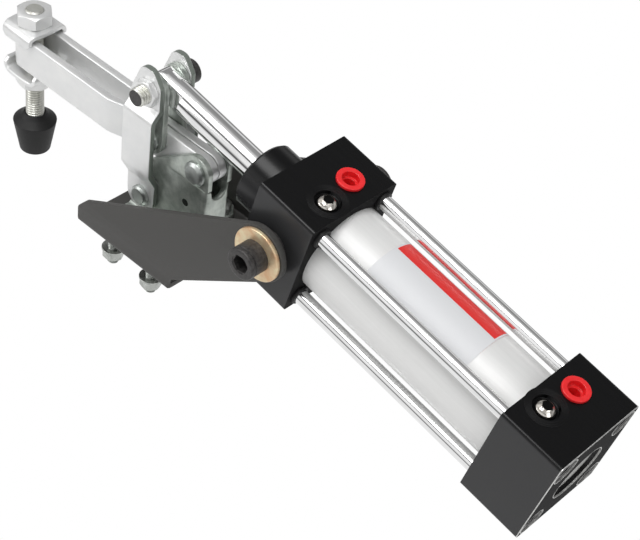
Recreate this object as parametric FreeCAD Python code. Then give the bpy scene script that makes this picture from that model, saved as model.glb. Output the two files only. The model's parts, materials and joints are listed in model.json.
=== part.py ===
"""Pneumatic cylinder in its toggle clamp, as an assembly of separate pieces.

A tie-rod air cylinder hangs by its front head on two trunnion screws in a sheet
bracket.  Its rod swings a link, and the link works a hold-down arm through a
toggle coupler.  It is drawn clamped, with the rod out and the arm level.

Frame: X runs back to the cylinder's rear cap, Y across, Z up.  The origin is the
centre of the four base bolts, on the underside of the bracket.  Millimetres.
"""
import FreeCAD, Part
import math
import os

V = FreeCAD.Vector
SIDES = (-1, 1)

# Pivots, as (X, Z)
LINK_PIVOT = (-6.9, 16.0)
ARM_PIVOT = (20.2, 43.2)
KNUCKLE = (-5.4, 68.7)
TOGGLE_FROM_LINK_PIVOT = 28.0
CYLINDER_TILT = 11.3
TRUNNION_FROM_KNUCKLE = 82.5

# Clearances, and the small cone on the end of every screw and pin
RUN = 0.05
SLIP = 0.2
POINT = 0.7
NUT_FACE = 0.97
NUT_CONE = 30.0

# Sheet metal, laid outwards from the arm's two strips on the middle plane
SHEET = 2.5
ARM_STRIP = 3.7
ARM_NECK_GAP = 0.25
ARM_SIDE_GAP = 0.15
TONGUE_GAP = 0.1
LINK_BULGE = 4.0

# Bracket
FLOOR_FRONT = -23.8
FLOOR_REAR = 29.6
BRACKET_NOSE = (-19.7, 13.6)
BRACKET_NOSE_Z = 9.0
REAR_TOE_Z = 6.0
TOP_EDGE_SLOPE = 29.4
LOW_EDGE_SLOPE = 36.9
TRUNNION_LOBE_R = 11.8
BEND_R = 3.0

# Base bolts
BOLT_X = 11.5
BOLT_Y = 19.0
BOLT_D = 5.0
BOLT_HEAD_AF = 8.0
BOLT_HEAD_H = 3.5
BOLT_DOWN = 18.0
FIXTURE_GAP = 10.0
BOLT_WASHER_R = 5.0
BOLT_WASHER_T = 1.0
BOLT_NUT_H = 4.0

# Clamp base
FOOT_GAP = 0.8
FOOT_X = (-16.0, 17.0)
FOOT_CORNER = 4.0
CHEEK_REAR = 27.3
CHEEK_FRONT_OVER = 8.8
CHEEK_FRONT_RISE = 6.0
CHEEK_STEP = (1.2, 17.9)
CHEEK_LOBE_R = 7.5
CHEEK_LOBE_FROM = 128.4
WEB_SIDE_Z = 37.0
WEB_SCOOP_Z = 31.5
CHEEK_HOLE = (15.5, 25.1)
CHEEK_HOLE_R = 1.8

# Rivets
RIVET_R = 3.0
ARM_RIVET_R = 3.5
RIVET_SHOULDER = 1.5
RIVET_END_GAP = 0.1
LINK_RIVET_HEAD_R = 4.5
LINK_RIVET_HEAD_T = 2.1
ARM_RIVET_HEAD_R = 5.3
ARM_RIVET_HEAD_T = 2.3
SMALL_RIM = 0.5
RIVET_RIM = 1.4
TOGGLE_HEAD_R = 5.0
TOGGLE_HEAD_T = 2.2

# Link plates, heights above the floor's underside
LINK_END_R = 7.5
LINK_TAPER = 0.9
LINK_FRONT = -15.6
LINK_REAR = 0.7
LINK_TOP = 78.7
BULGE_LOW = (24.2, 31.4)
BULGE_HIGH = (56.8, 61.0)

# Coupler
COUPLER_R = 6.2
COUPLER_TOGGLE_R = 6.6

# Knuckle bolt
KNUCKLE_R = 4.0
KNUCKLE_NUT_AF = 10.5
KNUCKLE_NUT_H = 3.0
KNUCKLE_NUT_SPIN = 12.0
KNUCKLE_PROUD = 4.2
KNUCKLE_HEAD_R = 5.0
KNUCKLE_HEAD_H = 4.7
KNUCKLE_SOCKET_AF = 4.0

# Arm
ARM_Z = (33.4, 49.5)
ARM_SLOT_GAP = 0.3
ARM_NECK_X = (-30.0, -17.0)
ARM_FLARE_R = 20.0
SPINDLE_X = -85.4

# Spindle
SPINDLE_R = 4.0
SPINDLE_TOP = 59.8
SPINDLE_NUT_AF = 14.0
SPINDLE_NUT_H = 6.0
JAM_NUT_H = 5.0
SADDLE_T = 2.0
SADDLE_X = 9.4
SADDLE_RISE = 1.6
SADDLE_LIP = 4.1
SADDLE_CORNER = 2.5
TIP_TOP = 6.8
TIP_RIM = 2.5
TIP_BOTTOM = -12.8
TIP_TOP_R = 4.5
TIP_RIM_R = 9.5
TIP_BOTTOM_R = 6.7
TIP_GRIP = 10.0

# Cylinder, measured along its axis from the front head's front face
HEAD_SIDE = 45.0
HEAD_LEN = 27.5
HEAD_EDGE = 1.5
CYL_LEN = 147.0
TRUNNION_X = 12.75
BOSS_R = 14.0
BOSS_LEN = 15.5
BOSS_CHAMFER = 1.2
BARREL_R = 18.8
BORE_R = 16.0
SOCKET_DEPTH = 4.0
GASKET_T = 1.0
CHAMBER_R = 10.0
CHAMBER_FRONT = 8.0
REAR_CHAMBER_LEN = 16.0
REAR_RECESS_R = 12.0
REAR_RECESS_DEPTH = 3.0
TIE_R = 3.0
TIE_EDGE = 6.0
TIE_THREAD = 14.0
TIE_INTO_NUT = 4.0
NUT_POCKET_R = 5.5
NUT_POCKET_DEPTH = 12.0
TIE_NUT_R = 5.2
TIE_NUT_BORE_R = 2.5
TIE_NUT_SINK = 0.5
RING_R = 4.4
RING_T = 1.8
PORT_FROM_FRONT = 17.0
PORT_FROM_REAR = 18.0
PORT_Y = 7.5
PORT_R = 4.5
PORT_DEPTH = 15.0
PLUG_FLANGE_R = 5.5
PLUG_FLANGE_T = 1.2
PLUG_DEPTH = 8.0
PLUG_WALL = 1.2
PLUG_STEP = 1.5
CUSHION_FROM_END = 19.7
CUSHION_Y = -7.0
CUSHION_HEAD_R = 3.75
CUSHION_POCKET_R = 5.25
CUSHION_POCKET_DEPTH = 1.6
CUSHION_NEEDLE_R = 2.5
CUSHION_DEPTH = 11.0
CUSHION_PROUD = 1.2
CUSHION_RIM = 0.8
CUSHION_SOCKET_AF = 3.0
CUSHION_SOCKET_DEPTH = 2.4
LABEL_X = (47.2, 97.0)
LABEL_DEG = (45.0, 128.0)
LABEL_T = 0.15

# Rod and piston
ROD_R = 6.0
TONGUE_END_R = 5.7
TONGUE_LEN = 12.25
BUSH_R = 8.0
SEAL_LEN = 3.5
PISTON_X = 34.0
PISTON_LEN = 22.0
PISTON_R = 15.8
SPIGOT_R = 4.0
GROOVE_R = 12.6
SEAL_W = 3.2
SEAL_OFFSET = 4.2
WEAR_W = 6.0
WEAR_GROOVE_R = 14.2
CUSHION_SLEEVE_R = 9.0
CUSHION_SLEEVE_LEN = 13.5
CUSHION_SEAL_W = 3.0
PISTON_NUT_AF = 13.0
PISTON_NUT_H = 5.0

# Trunnion screws
TRUNNION_R = 4.0
TRUNNION_WASHER_R = 11.0
TRUNNION_WASHER_T = 1.7
TRUNNION_HEAD_R = 6.5
TRUNNION_HEAD_H = 8.0
TRUNNION_SOCKET_AF = 6.0
TRUNNION_SOCKET_DEPTH = 4.5
TRUNNION_STUD_LEN = 8.0
TRUNNION_SPACER_R = 8.0
TRUNNION_SPACER_T = 3.0
TRUNNION_GAP = 0.3

# Worked out from the sizes above
CHEEK_IN = ARM_NECK_GAP + ARM_STRIP + ARM_SIDE_GAP
CHEEK_OUT = CHEEK_IN + SHEET
TONGUE_HALF = CHEEK_IN - TONGUE_GAP
LINK_IN = CHEEK_OUT + SLIP
LINK_OUT = LINK_IN + SHEET
KNUCKLE_END = LINK_OUT + KNUCKLE_NUT_H + KNUCKLE_PROUD
ARM_HALF = SPINDLE_R + ARM_SLOT_GAP + ARM_STRIP
HALF = HEAD_SIDE / 2
BRACKET_IN = HALF + TRUNNION_SPACER_T + TRUNNION_GAP
BRACKET_OUT = BRACKET_IN + SHEET
FOOT_OUT = BRACKET_IN - FOOT_GAP
REAR_HEAD_X = CYL_LEN - HEAD_LEN
TIE_AT = HALF - TIE_EDGE
PORT_X = (PORT_FROM_FRONT, CYL_LEN - PORT_FROM_REAR)
CUSHION_X = (CUSHION_FROM_END, CYL_LEN - CUSHION_FROM_END)
TILT = math.radians(CYLINDER_TILT)
TRUNNION = (KNUCKLE[0] + TRUNNION_FROM_KNUCKLE * math.cos(TILT),
            KNUCKLE[1] - TRUNNION_FROM_KNUCKLE * math.sin(TILT))
ROD_TIP_X = TRUNNION_X - TRUNNION_FROM_KNUCKLE
LINK_LEN = math.dist(LINK_PIVOT, KNUCKLE)
TOGGLE = tuple(a + (b - a) * TOGGLE_FROM_LINK_PIVOT / LINK_LEN for a, b in zip(LINK_PIVOT, KNUCKLE))
TIES = [(y * TIE_AT, z * TIE_AT) for y in SIDES for z in SIDES]


# Shapes

def box(x, y, z):
    """Box from three (low, high) ranges."""
    return Part.makeBox(x[1] - x[0], y[1] - y[0], z[1] - z[0], V(x[0], y[0], z[0]))


def rod_y(at, radius, low, high):
    """Round bar across the assembly at an (X, Z) point."""
    return Part.makeCylinder(radius, high - low, V(at[0], low, at[1]), V(0, 1, 0))


def rod_z(at, radius, low, high):
    """Upright round bar at an (X, Y) point."""
    return Part.makeCylinder(radius, high - low, V(at[0], at[1], low), V(0, 0, 1))


def rod_x(at, radius, low, high):
    """Round bar along X at a (Y, Z) point."""
    return Part.makeCylinder(radius, high - low, V(low, at[0], at[1]), V(1, 0, 0))


def ring_x(outer, inner, low, high, at=(0, 0)):
    return rod_x(at, outer, low, high).cut(rod_x(at, inner, low - 1, high + 1))


def polygon(points):
    """Closed face through 3-D points."""
    return Part.Face(Part.makePolygon(points + points[:1]))


def hexagon(centre, normal, across_flats, height, turn=0.0):
    """Hexagonal bar standing on a centre point along X, Y or Z, or along their negatives."""
    radius = across_flats / math.sqrt(3)
    side = V(1, 0, 0) if abs(normal.x) < 0.5 else V(0, 1, 0)
    other = normal.cross(side)
    points = []
    for k in range(6):
        angle = math.radians(60 * k + turn)
        points.append(centre + side * (radius * math.cos(angle)) + other * (radius * math.sin(angle)))
    return polygon(points).extrude(normal * height)


def hex_nut(centre, normal, across_flats, height, hole, turn=0.0):
    """Hexagonal nut whose corners are turned off by a cone at each face."""
    body = hexagon(centre, normal, across_flats, height, turn)
    face = NUT_FACE * across_flats / 2
    wide = face + height / 2 / math.tan(math.radians(NUT_CONE))
    low = Part.makeCone(face, wide, height / 2, centre, normal)
    high = Part.makeCone(wide, face, height / 2, centre + normal * (height / 2), normal)
    body = body.common(low.fuse(high))
    return body.cut(Part.makeCylinder(hole, height + 2, centre - normal, normal))


def outline(points):
    """Wire in the XZ plane; a point (x, z, r) is a corner rounded with radius r."""
    count = len(points)
    flat = [V(p[0], 0, p[1]) for p in points]
    edges = []
    ends = []
    for i in range(count):
        here = flat[i]
        radius = points[i][2] if len(points[i]) > 2 else 0.0
        if not radius:
            ends.append((here, here))
            continue
        back = (flat[i - 1] - here).normalize()
        ahead = (flat[(i + 1) % count] - here).normalize()
        half = back.getAngle(ahead) / 2
        reach = radius / math.tan(half)
        middle = here + (back + ahead).normalize() * (radius / math.sin(half) - radius)
        start = here + back * reach
        end = here + ahead * reach
        edges.append(Part.Arc(start, middle, end).toShape())
        ends.append((start, end))
    for i in range(count):
        start = ends[i][1]
        end = ends[(i + 1) % count][0]
        if start.distanceToPoint(end) > 1e-6:
            edges.append(Part.makeLine(start, end))
    return Part.Wire(Part.__sortEdges__(edges))


def plate(points, low, high):
    """Side-view outline made solid between two Y values."""
    shape = Part.Face(outline(points)).extrude(V(0, high - low, 0))
    shape.translate(V(0, low, 0))
    return shape


def around(centre, radius, degrees):
    """Point on a circle, its angle counted from X towards Z."""
    angle = math.radians(degrees)
    return (centre[0] + radius * math.cos(angle), centre[1] + radius * math.sin(angle))


def strap(a, b, radius_a, radius_b, low, high):
    """Flat bar with two round ends, its sides tangent to both."""
    length = math.dist(a, b)
    ux, uz = (b[0] - a[0]) / length, (b[1] - a[1]) / length
    lean = math.asin((radius_a - radius_b) / length)
    points = []
    for end, radius, side in ((a, radius_a, 1), (b, radius_b, 1), (b, radius_b, -1), (a, radius_a, -1)):
        along = math.sin(lean) * radius
        out = math.cos(lean) * radius * side
        points.append((end[0] + ux * along - uz * out, end[1] + uz * along + ux * out))
    body = plate(points, low, high)
    return body.fuse([rod_y(a, radius_a, low, high), rod_y(b, radius_b, low, high)]).removeSplitter()


def both_sides(shape):
    """A piece and its mirror image across the middle plane."""
    return Part.makeCompound([shape, shape.mirror(V(0, 0, 0), V(0, 1, 0))])


def four_bolts(shape):
    """Copies of a piece made at the origin, at the four base bolts."""
    copies = []
    for x in (-BOLT_X, BOLT_X):
        for y in (-BOLT_Y, BOLT_Y):
            copy = shape.copy()
            copy.translate(V(x, y, 0))
            copies.append(copy)
    return Part.makeCompound(copies)


def on_cylinder(shape):
    """Move a piece from the cylinder's own axis to its place in the clamp."""
    face = V(KNUCKLE[0] - ROD_TIP_X * math.cos(TILT), 0, KNUCKLE[1] + ROD_TIP_X * math.sin(TILT))
    placed = shape.copy()
    placed.Placement = FreeCAD.Placement(face, FreeCAD.Rotation(V(0, 1, 0), CYLINDER_TILT))
    return placed


def rivet_head(at, radius, face, thick, side, rim):
    """Flat rivet head with a sloping rim, standing on the plane at a distance from the middle."""
    flat = Part.makeCylinder(radius, thick - rim, V(at[0], side * face, at[1]), V(0, side, 0))
    low_rim = V(at[0], side * (face + thick - rim), at[1])
    slope = Part.makeCone(radius, radius - rim, rim, low_rim, V(0, side, 0))
    return flat.fuse(slope)


# Bracket and clamp base

def bracket():
    """Black sheet bent up into a floor and two side plates that hold the trunnions."""
    top = around(TRUNNION, TRUNNION_LOBE_R, 90 + TOP_EDGE_SLOPE)
    low = around(TRUNNION, TRUNNION_LOBE_R, LOW_EDGE_SLOPE - 90)
    side = [(FLOOR_FRONT, 0), (FLOOR_FRONT, BRACKET_NOSE_Z, BEND_R), (*BRACKET_NOSE, BEND_R), top,
            TRUNNION, low, (FLOOR_REAR, REAR_TOE_Z, REAR_TOE_Z), (FLOOR_REAR, 0)]
    sheet = plate(side, BRACKET_IN, BRACKET_OUT)
    sheet = sheet.fuse(rod_y(TRUNNION, TRUNNION_LOBE_R, BRACKET_IN, BRACKET_OUT))
    sheet = sheet.cut(rod_y(TRUNNION, TRUNNION_R + SLIP, BRACKET_IN - 1, BRACKET_OUT + 1))
    floor = box((FLOOR_FRONT, FLOOR_REAR), (-BRACKET_OUT, BRACKET_OUT), (0, SHEET))
    body = floor.fuse([sheet, sheet.mirror(V(0, 0, 0), V(0, 1, 0))])
    length = FLOOR_REAR - FLOOR_FRONT
    for s in SIDES:
        corner = box((FLOOR_FRONT, FLOOR_REAR), tuple(sorted((s * (BRACKET_OUT - BEND_R), s * BRACKET_OUT))),
                     (0, BEND_R))
        bend_at = V(FLOOR_FRONT, s * (BRACKET_OUT - BEND_R), BEND_R)
        bend = Part.makeCylinder(BEND_R, length, bend_at, V(1, 0, 0))
        body = body.cut(corner.cut(bend))
    holes = four_bolts(rod_z((0, 0), BOLT_D / 2 + SLIP, -1, SHEET + 1))
    return body.cut(holes).removeSplitter()


def clamp_base():
    """Stamped saddle: two cheeks and a rear web on a pair of foot flanges."""
    foot_top = 2 * SHEET
    lobe_top = around(ARM_PIVOT, CHEEK_LOBE_R, CHEEK_LOBE_FROM)
    front = LINK_PIVOT[0] - CHEEK_FRONT_OVER
    step = (LINK_PIVOT[0] + CHEEK_STEP[0], LINK_PIVOT[1] + CHEEK_STEP[1])
    side = [(front, SHEET), (front, LINK_PIVOT[1] + CHEEK_FRONT_RISE, 5.0), (*step, 6.0), lobe_top, ARM_PIVOT,
            (CHEEK_REAR, ARM_PIVOT[1]), (CHEEK_REAR, SHEET)]
    lobe = rod_y(ARM_PIVOT, CHEEK_LOBE_R, CHEEK_IN, CHEEK_OUT)
    cheek = plate(side, CHEEK_IN, CHEEK_OUT).fuse(lobe)
    foot = Part.makeBox(FOOT_X[1] - FOOT_X[0], FOOT_OUT - CHEEK_IN, SHEET, V(FOOT_X[0], CHEEK_IN, SHEET))
    for x, inward in ((FOOT_X[0], 1), (FOOT_X[1], -1)):
        clip = polygon([V(x, FOOT_OUT, SHEET), V(x + inward * FOOT_CORNER, FOOT_OUT, SHEET),
                        V(x, FOOT_OUT - FOOT_CORNER, SHEET)])
        foot = foot.cut(clip.extrude(V(0, 0, SHEET)))
    root = box(FOOT_X, (CHEEK_OUT, CHEEK_OUT + SHEET), (foot_top, foot_top + SHEET))
    root = root.cut(rod_x((CHEEK_OUT + SHEET, foot_top + SHEET), SHEET, FOOT_X[0], FOOT_X[1]))
    half = cheek.fuse([foot, root])
    half = half.cut(rod_y(LINK_PIVOT, RIVET_R, 0, BRACKET_IN))
    half = half.cut(rod_y(ARM_PIVOT, ARM_RIVET_R, 0, BRACKET_IN))
    half = half.cut(rod_y(CHEEK_HOLE, CHEEK_HOLE_R, 0, BRACKET_IN))
    web = box((CHEEK_REAR - SHEET, CHEEK_REAR), (-CHEEK_OUT, CHEEK_OUT), (SHEET, WEB_SIDE_Z))
    scoop_mid = WEB_SCOOP_Z + CHEEK_IN
    web = web.cut(rod_x((0, scoop_mid), CHEEK_IN, CHEEK_REAR - 2 * SHEET, CHEEK_REAR + 1))
    web = web.cut(box((CHEEK_REAR - 2 * SHEET, CHEEK_REAR + 1), (-CHEEK_IN, CHEEK_IN),
                      (scoop_mid, WEB_SIDE_Z + 1)))
    body = web.fuse([half, half.mirror(V(0, 0, 0), V(0, 1, 0))])
    return body.cut(four_bolts(rod_z((0, 0), BOLT_D / 2 + SLIP, 0, 3 * SHEET))).removeSplitter()


def base_bolts():
    head = hexagon(V(0, 0, 2 * SHEET), V(0, 0, 1), BOLT_HEAD_AF, BOLT_HEAD_H)
    face = NUT_FACE * BOLT_HEAD_AF / 2
    wide = face + BOLT_HEAD_H / math.tan(math.radians(NUT_CONE))
    head = head.common(Part.makeCone(wide, face, BOLT_HEAD_H, V(0, 0, 2 * SHEET)))
    shank = rod_z((0, 0), BOLT_D / 2, POINT - BOLT_DOWN, 2 * SHEET)
    point = Part.makeCone(BOLT_D / 2 - POINT, BOLT_D / 2, POINT, V(0, 0, -BOLT_DOWN))
    return four_bolts(head.fuse([shank, point]).removeSplitter())


def base_washers():
    top = -FIXTURE_GAP
    washer = rod_z((0, 0), BOLT_WASHER_R, top - BOLT_WASHER_T, top)
    return four_bolts(washer.cut(rod_z((0, 0), BOLT_D / 2 + SLIP, top - BOLT_WASHER_T - 1, top + 1)))


def base_nuts():
    top = -FIXTURE_GAP - BOLT_WASHER_T
    return four_bolts(hex_nut(V(0, 0, top - BOLT_NUT_H), V(0, 0, 1), BOLT_HEAD_AF, BOLT_NUT_H, BOLT_D / 2))


def link_rivet():
    """Shouldered rivet in the cheeks; the link plates turn on its two ends."""
    face = LINK_OUT + RIVET_END_GAP
    middle = rod_y(LINK_PIVOT, RIVET_R + RIVET_SHOULDER, -CHEEK_IN, CHEEK_IN)
    body = middle.fuse(rod_y(LINK_PIVOT, RIVET_R, -face, face))
    for s in SIDES:
        body = body.fuse(rivet_head(LINK_PIVOT, LINK_RIVET_HEAD_R, face, LINK_RIVET_HEAD_T, s, SMALL_RIM))
    return body.removeSplitter()


def arm_rivet():
    body = rod_y(ARM_PIVOT, ARM_RIVET_R, -CHEEK_OUT, CHEEK_OUT)
    for s in SIDES:
        body = body.fuse(rivet_head(ARM_PIVOT, ARM_RIVET_HEAD_R, CHEEK_OUT, ARM_RIVET_HEAD_T, s, RIVET_RIM))
    return body.removeSplitter()


# Trunnion screws

def trunnion_washers():
    face = BRACKET_OUT
    ring = rod_y(TRUNNION, TRUNNION_WASHER_R, face, face + TRUNNION_WASHER_T)
    return both_sides(ring.cut(rod_y(TRUNNION, TRUNNION_R + SLIP, face - 1, face + TRUNNION_WASHER_T + 1)))


def trunnion_screws():
    """Socket screws through the side plates; each ends flush with its plate's inner face."""
    seat = BRACKET_OUT + TRUNNION_WASHER_T
    end = seat + TRUNNION_HEAD_H
    head = rod_y(TRUNNION, TRUNNION_HEAD_R, seat, end - POINT)
    head = head.fuse(Part.makeCone(TRUNNION_HEAD_R, TRUNNION_HEAD_R - POINT, POINT,
                                   V(TRUNNION[0], end - POINT, TRUNNION[1]), V(0, 1, 0)))
    socket = hexagon(V(TRUNNION[0], end + 1, TRUNNION[1]), V(0, -1, 0), TRUNNION_SOCKET_AF,
                     TRUNNION_SOCKET_DEPTH + 1, 10)
    screw = head.fuse(rod_y(TRUNNION, TRUNNION_R, BRACKET_IN, seat)).cut(socket)
    return both_sides(screw.removeSplitter())


def trunnion_spacers():
    """Round spacers between the front head and the side plates."""
    end = BRACKET_IN - TRUNNION_GAP
    ring = Part.makeCylinder(TRUNNION_SPACER_R, end - HALF, V(TRUNNION_X, HALF, 0), V(0, 1, 0))
    hole = Part.makeCylinder(TRUNNION_R, end, V(TRUNNION_X, 0, 0), V(0, 1, 0))
    return on_cylinder(both_sides(ring.cut(hole)))


def trunnion_studs():
    """The threaded ends of the trunnion screws, in the front head."""
    start = HALF - TRUNNION_STUD_LEN
    length = BRACKET_IN - TRUNNION_GAP - start
    stud = Part.makeCylinder(TRUNNION_R, length, V(TRUNNION_X, start, 0), V(0, 1, 0))
    return on_cylinder(both_sides(stud))


# Link and coupler

def link_plate(side):
    """Link plate that bulges outwards between its two flat ends, to pass the rivet heads."""
    crown = LINK_IN + LINK_BULGE
    above = LINK_TOP + SHEET
    low_shift = SHEET * math.tan(math.atan2(LINK_BULGE, BULGE_LOW[1] - BULGE_LOW[0]) / 2)
    high_shift = SHEET * math.tan(math.atan2(LINK_BULGE, BULGE_HIGH[1] - BULGE_HIGH[0]) / 2)
    section = [(LINK_IN, 0), (LINK_IN, BULGE_LOW[0]), (crown, BULGE_LOW[1]), (crown, BULGE_HIGH[0]),
               (LINK_IN, BULGE_HIGH[1]), (LINK_IN, above), (LINK_OUT, above),
               (LINK_OUT, BULGE_HIGH[1] + high_shift),
               (crown + SHEET, BULGE_HIGH[0] + high_shift), (crown + SHEET, BULGE_LOW[1] - low_shift),
               (LINK_OUT, BULGE_LOW[0] - low_shift), (LINK_OUT, 0)]
    face = polygon([V(LINK_FRONT - SHEET, y, z) for y, z in section])
    sheet = face.extrude(V(LINK_REAR - LINK_FRONT + 2 * SHEET, 0, 0))
    shape = sheet.common(link_side_view())
    shape = shape.cut(rod_y(LINK_PIVOT, RIVET_R + RUN, 0, BRACKET_IN))
    shape = shape.cut(rod_y(KNUCKLE, KNUCKLE_R, 0, BRACKET_IN))
    if side < 0:
        shape = shape.mirror(V(0, 0, 0), V(0, 1, 0))
    return shape


def link_side_view():
    """Side view of the link plates, as a thick block to cut the bent sheet from."""
    foot = LINK_PIVOT[1] - LINK_END_R
    side = [(LINK_PIVOT[0] - LINK_END_R - LINK_TAPER, foot, 6.5), (LINK_FRONT, BULGE_LOW[1], 8.0),
            (LINK_FRONT, BULGE_HIGH[0] + 9.0, 4.0), (LINK_FRONT + 5.4, LINK_TOP, 4.5),
            (LINK_REAR - 4.4, LINK_TOP, 3.0), (LINK_REAR, LINK_TOP - 6.2, 3.0),
            (LINK_REAR, BULGE_LOW[1], 12.0),
            (LINK_PIVOT[0] + LINK_END_R - LINK_TAPER, foot, 6.5)]
    return plate(side, 0, BRACKET_IN)


def coupler_plate(side):
    low, high = sorted((side * CHEEK_IN, side * CHEEK_OUT))
    body = strap(KNUCKLE, TOGGLE, COUPLER_R, COUPLER_TOGGLE_R, low, high)
    body = body.cut(rod_y(KNUCKLE, KNUCKLE_R + RUN, low - 1, high + 1))
    return body.cut(rod_y(TOGGLE, RIVET_R, low - 1, high + 1))


def coupler_rivets():
    """The two headed ends of the toggle rivet, one in each coupler plate."""
    low = CHEEK_IN
    shank = rod_y(TOGGLE, RIVET_R, low, CHEEK_OUT)
    head = rivet_head(TOGGLE, TOGGLE_HEAD_R, CHEEK_OUT, TOGGLE_HEAD_T, 1, SMALL_RIM)
    return both_sides(shank.fuse(head).removeSplitter())


def knuckle_bolt():
    """Shoulder screw through both link plates; its head is on the far side."""
    far = LINK_OUT
    end = far + KNUCKLE_HEAD_H
    body = rod_y(KNUCKLE, KNUCKLE_R, POINT - KNUCKLE_END, far)
    end_at = V(KNUCKLE[0], -KNUCKLE_END, KNUCKLE[1])
    body = body.fuse(Part.makeCone(KNUCKLE_R - POINT, KNUCKLE_R, POINT, end_at, V(0, 1, 0)))
    body = body.fuse(rod_y(KNUCKLE, KNUCKLE_HEAD_R, far, end))
    socket = hexagon(V(KNUCKLE[0], end + 1, KNUCKLE[1]), V(0, -1, 0), KNUCKLE_SOCKET_AF,
                     KNUCKLE_HEAD_H / 2 + 1)
    return body.cut(socket).removeSplitter()


def knuckle_nut():
    seat = V(KNUCKLE[0], -LINK_OUT, KNUCKLE[1])
    return hex_nut(seat, V(0, -1, 0), KNUCKLE_NUT_AF, KNUCKLE_NUT_H, KNUCKLE_R, KNUCKLE_NUT_SPIN)


# Arm

def clamp_arm():
    """Flat bar bent round into a long loop; its two ends close up and turn on the arm rivet."""
    neck_start, neck_end = ARM_NECK_X
    slot = ARM_HALF - ARM_STRIP
    inner_neck = ARM_NECK_GAP
    outer_neck = ARM_NECK_GAP + ARM_STRIP
    end = ARM_PIVOT[0] + CHEEK_LOBE_R + 1
    strip = polygon([V(SPINDLE_X, slot, 0), V(neck_start, slot, 0), V(neck_end, inner_neck, 0),
                     V(end, inner_neck, 0), V(end, outer_neck, 0), V(neck_end + 1, outer_neck, 0),
                     V(neck_start + 1, ARM_HALF, 0), V(SPINDLE_X, ARM_HALF, 0)]).extrude(V(0, 0, SPINDLE_TOP))
    loop = rod_z((SPINDLE_X, 0), ARM_HALF, 0, SPINDLE_TOP)
    loop = loop.cut(rod_z((SPINDLE_X, 0), slot, -1, SPINDLE_TOP + 1))
    loop = loop.common(box((SPINDLE_X - ARM_HALF, SPINDLE_X), (-ARM_HALF, ARM_HALF), (0, SPINDLE_TOP)))
    plan = loop.fuse([strip, strip.mirror(V(0, 0, 0), V(0, 1, 0))])
    radius = ARM_Z[1] - ARM_PIVOT[1]
    side = [(SPINDLE_X - ARM_HALF - 1, ARM_Z[0]), (neck_end + 8, ARM_Z[0], ARM_FLARE_R),
            (ARM_PIVOT[0], ARM_PIVOT[1] - radius), ARM_PIVOT, (ARM_PIVOT[0], ARM_Z[1]),
            (SPINDLE_X - ARM_HALF - 1, ARM_Z[1])]
    profile = plate(side, -ARM_HALF, ARM_HALF).fuse(rod_y(ARM_PIVOT, radius, -ARM_HALF, ARM_HALF))
    body = plan.common(profile)
    body = body.cut(rod_y(ARM_PIVOT, ARM_RIVET_R + RUN, -ARM_HALF, ARM_HALF))
    return body.cut(rod_y(TOGGLE, RIVET_R, -ARM_HALF, ARM_HALF)).removeSplitter()


def toggle_pin():
    """Middle of the toggle rivet, in the arm."""
    end = ARM_NECK_GAP + ARM_STRIP
    return rod_y(TOGGLE, RIVET_R, -end, end)


def saddle_washer():
    """Stamped washer at the origin: two lips along X point down from a plate that lies above Z = 0."""
    outer = ARM_HALF + SLIP + SADDLE_T
    plate_top = box((-SADDLE_X, SADDLE_X), (-outer, outer), (0, SADDLE_T))
    rims = [e for e in plate_top.Edges if e.BoundBox.ZMin > SADDLE_T / 2 and e.BoundBox.XLength > SADDLE_X]
    body = plate_top.makeFillet(SADDLE_T * 0.9, rims)
    for side in SIDES:
        inner_y, outer_y = sorted((side * (ARM_HALF + SLIP), side * outer))
        lip = box((-SADDLE_X, SADDLE_X), (inner_y, outer_y), (-SADDLE_LIP, 0))
        for x in (-SADDLE_X, SADDLE_X):
            inward = math.copysign(SADDLE_CORNER, -x)
            clip = polygon([V(x, inner_y, -SADDLE_LIP), V(x + inward, inner_y, -SADDLE_LIP),
                            V(x, inner_y, SADDLE_CORNER - SADDLE_LIP)])
            lip = lip.cut(clip.extrude(V(0, outer_y - inner_y, 0)))
        body = body.fuse(lip)
    return body.cut(rod_z((0, 0), SPINDLE_R + SLIP, -1, SADDLE_T + 1)).removeSplitter()


def saddle_washer_top():
    """Top washer, riding on the arm's two upper edges by its bends."""
    washer = saddle_washer()
    washer.translate(V(SPINDLE_X, 0, ARM_Z[1] + SADDLE_RISE))
    return washer


def saddle_washer_bottom():
    """Bottom washer, turned crossways so that its lips bear on the arm's underside."""
    washer = saddle_washer()
    washer.rotate(V(0, 0, 0), V(1, 0, 0), 180)
    washer.rotate(V(0, 0, 0), V(0, 0, 1), 90)
    washer.translate(V(SPINDLE_X, 0, ARM_Z[0] - SADDLE_LIP))
    return washer


def spindle():
    low = TIP_TOP - TIP_GRIP
    body = rod_z((SPINDLE_X, 0), SPINDLE_R, low, SPINDLE_TOP - POINT)
    tip = Part.makeCone(SPINDLE_R, SPINDLE_R - POINT, POINT, V(SPINDLE_X, 0, SPINDLE_TOP - POINT))
    return body.fuse(tip).removeSplitter()


def spindle_nut_top():
    face = ARM_Z[1] + SADDLE_RISE + SADDLE_T
    return hex_nut(V(SPINDLE_X, 0, face), V(0, 0, 1), SPINDLE_NUT_AF, SPINDLE_NUT_H, SPINDLE_R, 20)


def spindle_nut_bottom():
    face = ARM_Z[0] - SADDLE_LIP - SADDLE_T
    return hex_nut(V(SPINDLE_X, 0, face), V(0, 0, -1), SPINDLE_NUT_AF, JAM_NUT_H, SPINDLE_R, 20)


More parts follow.
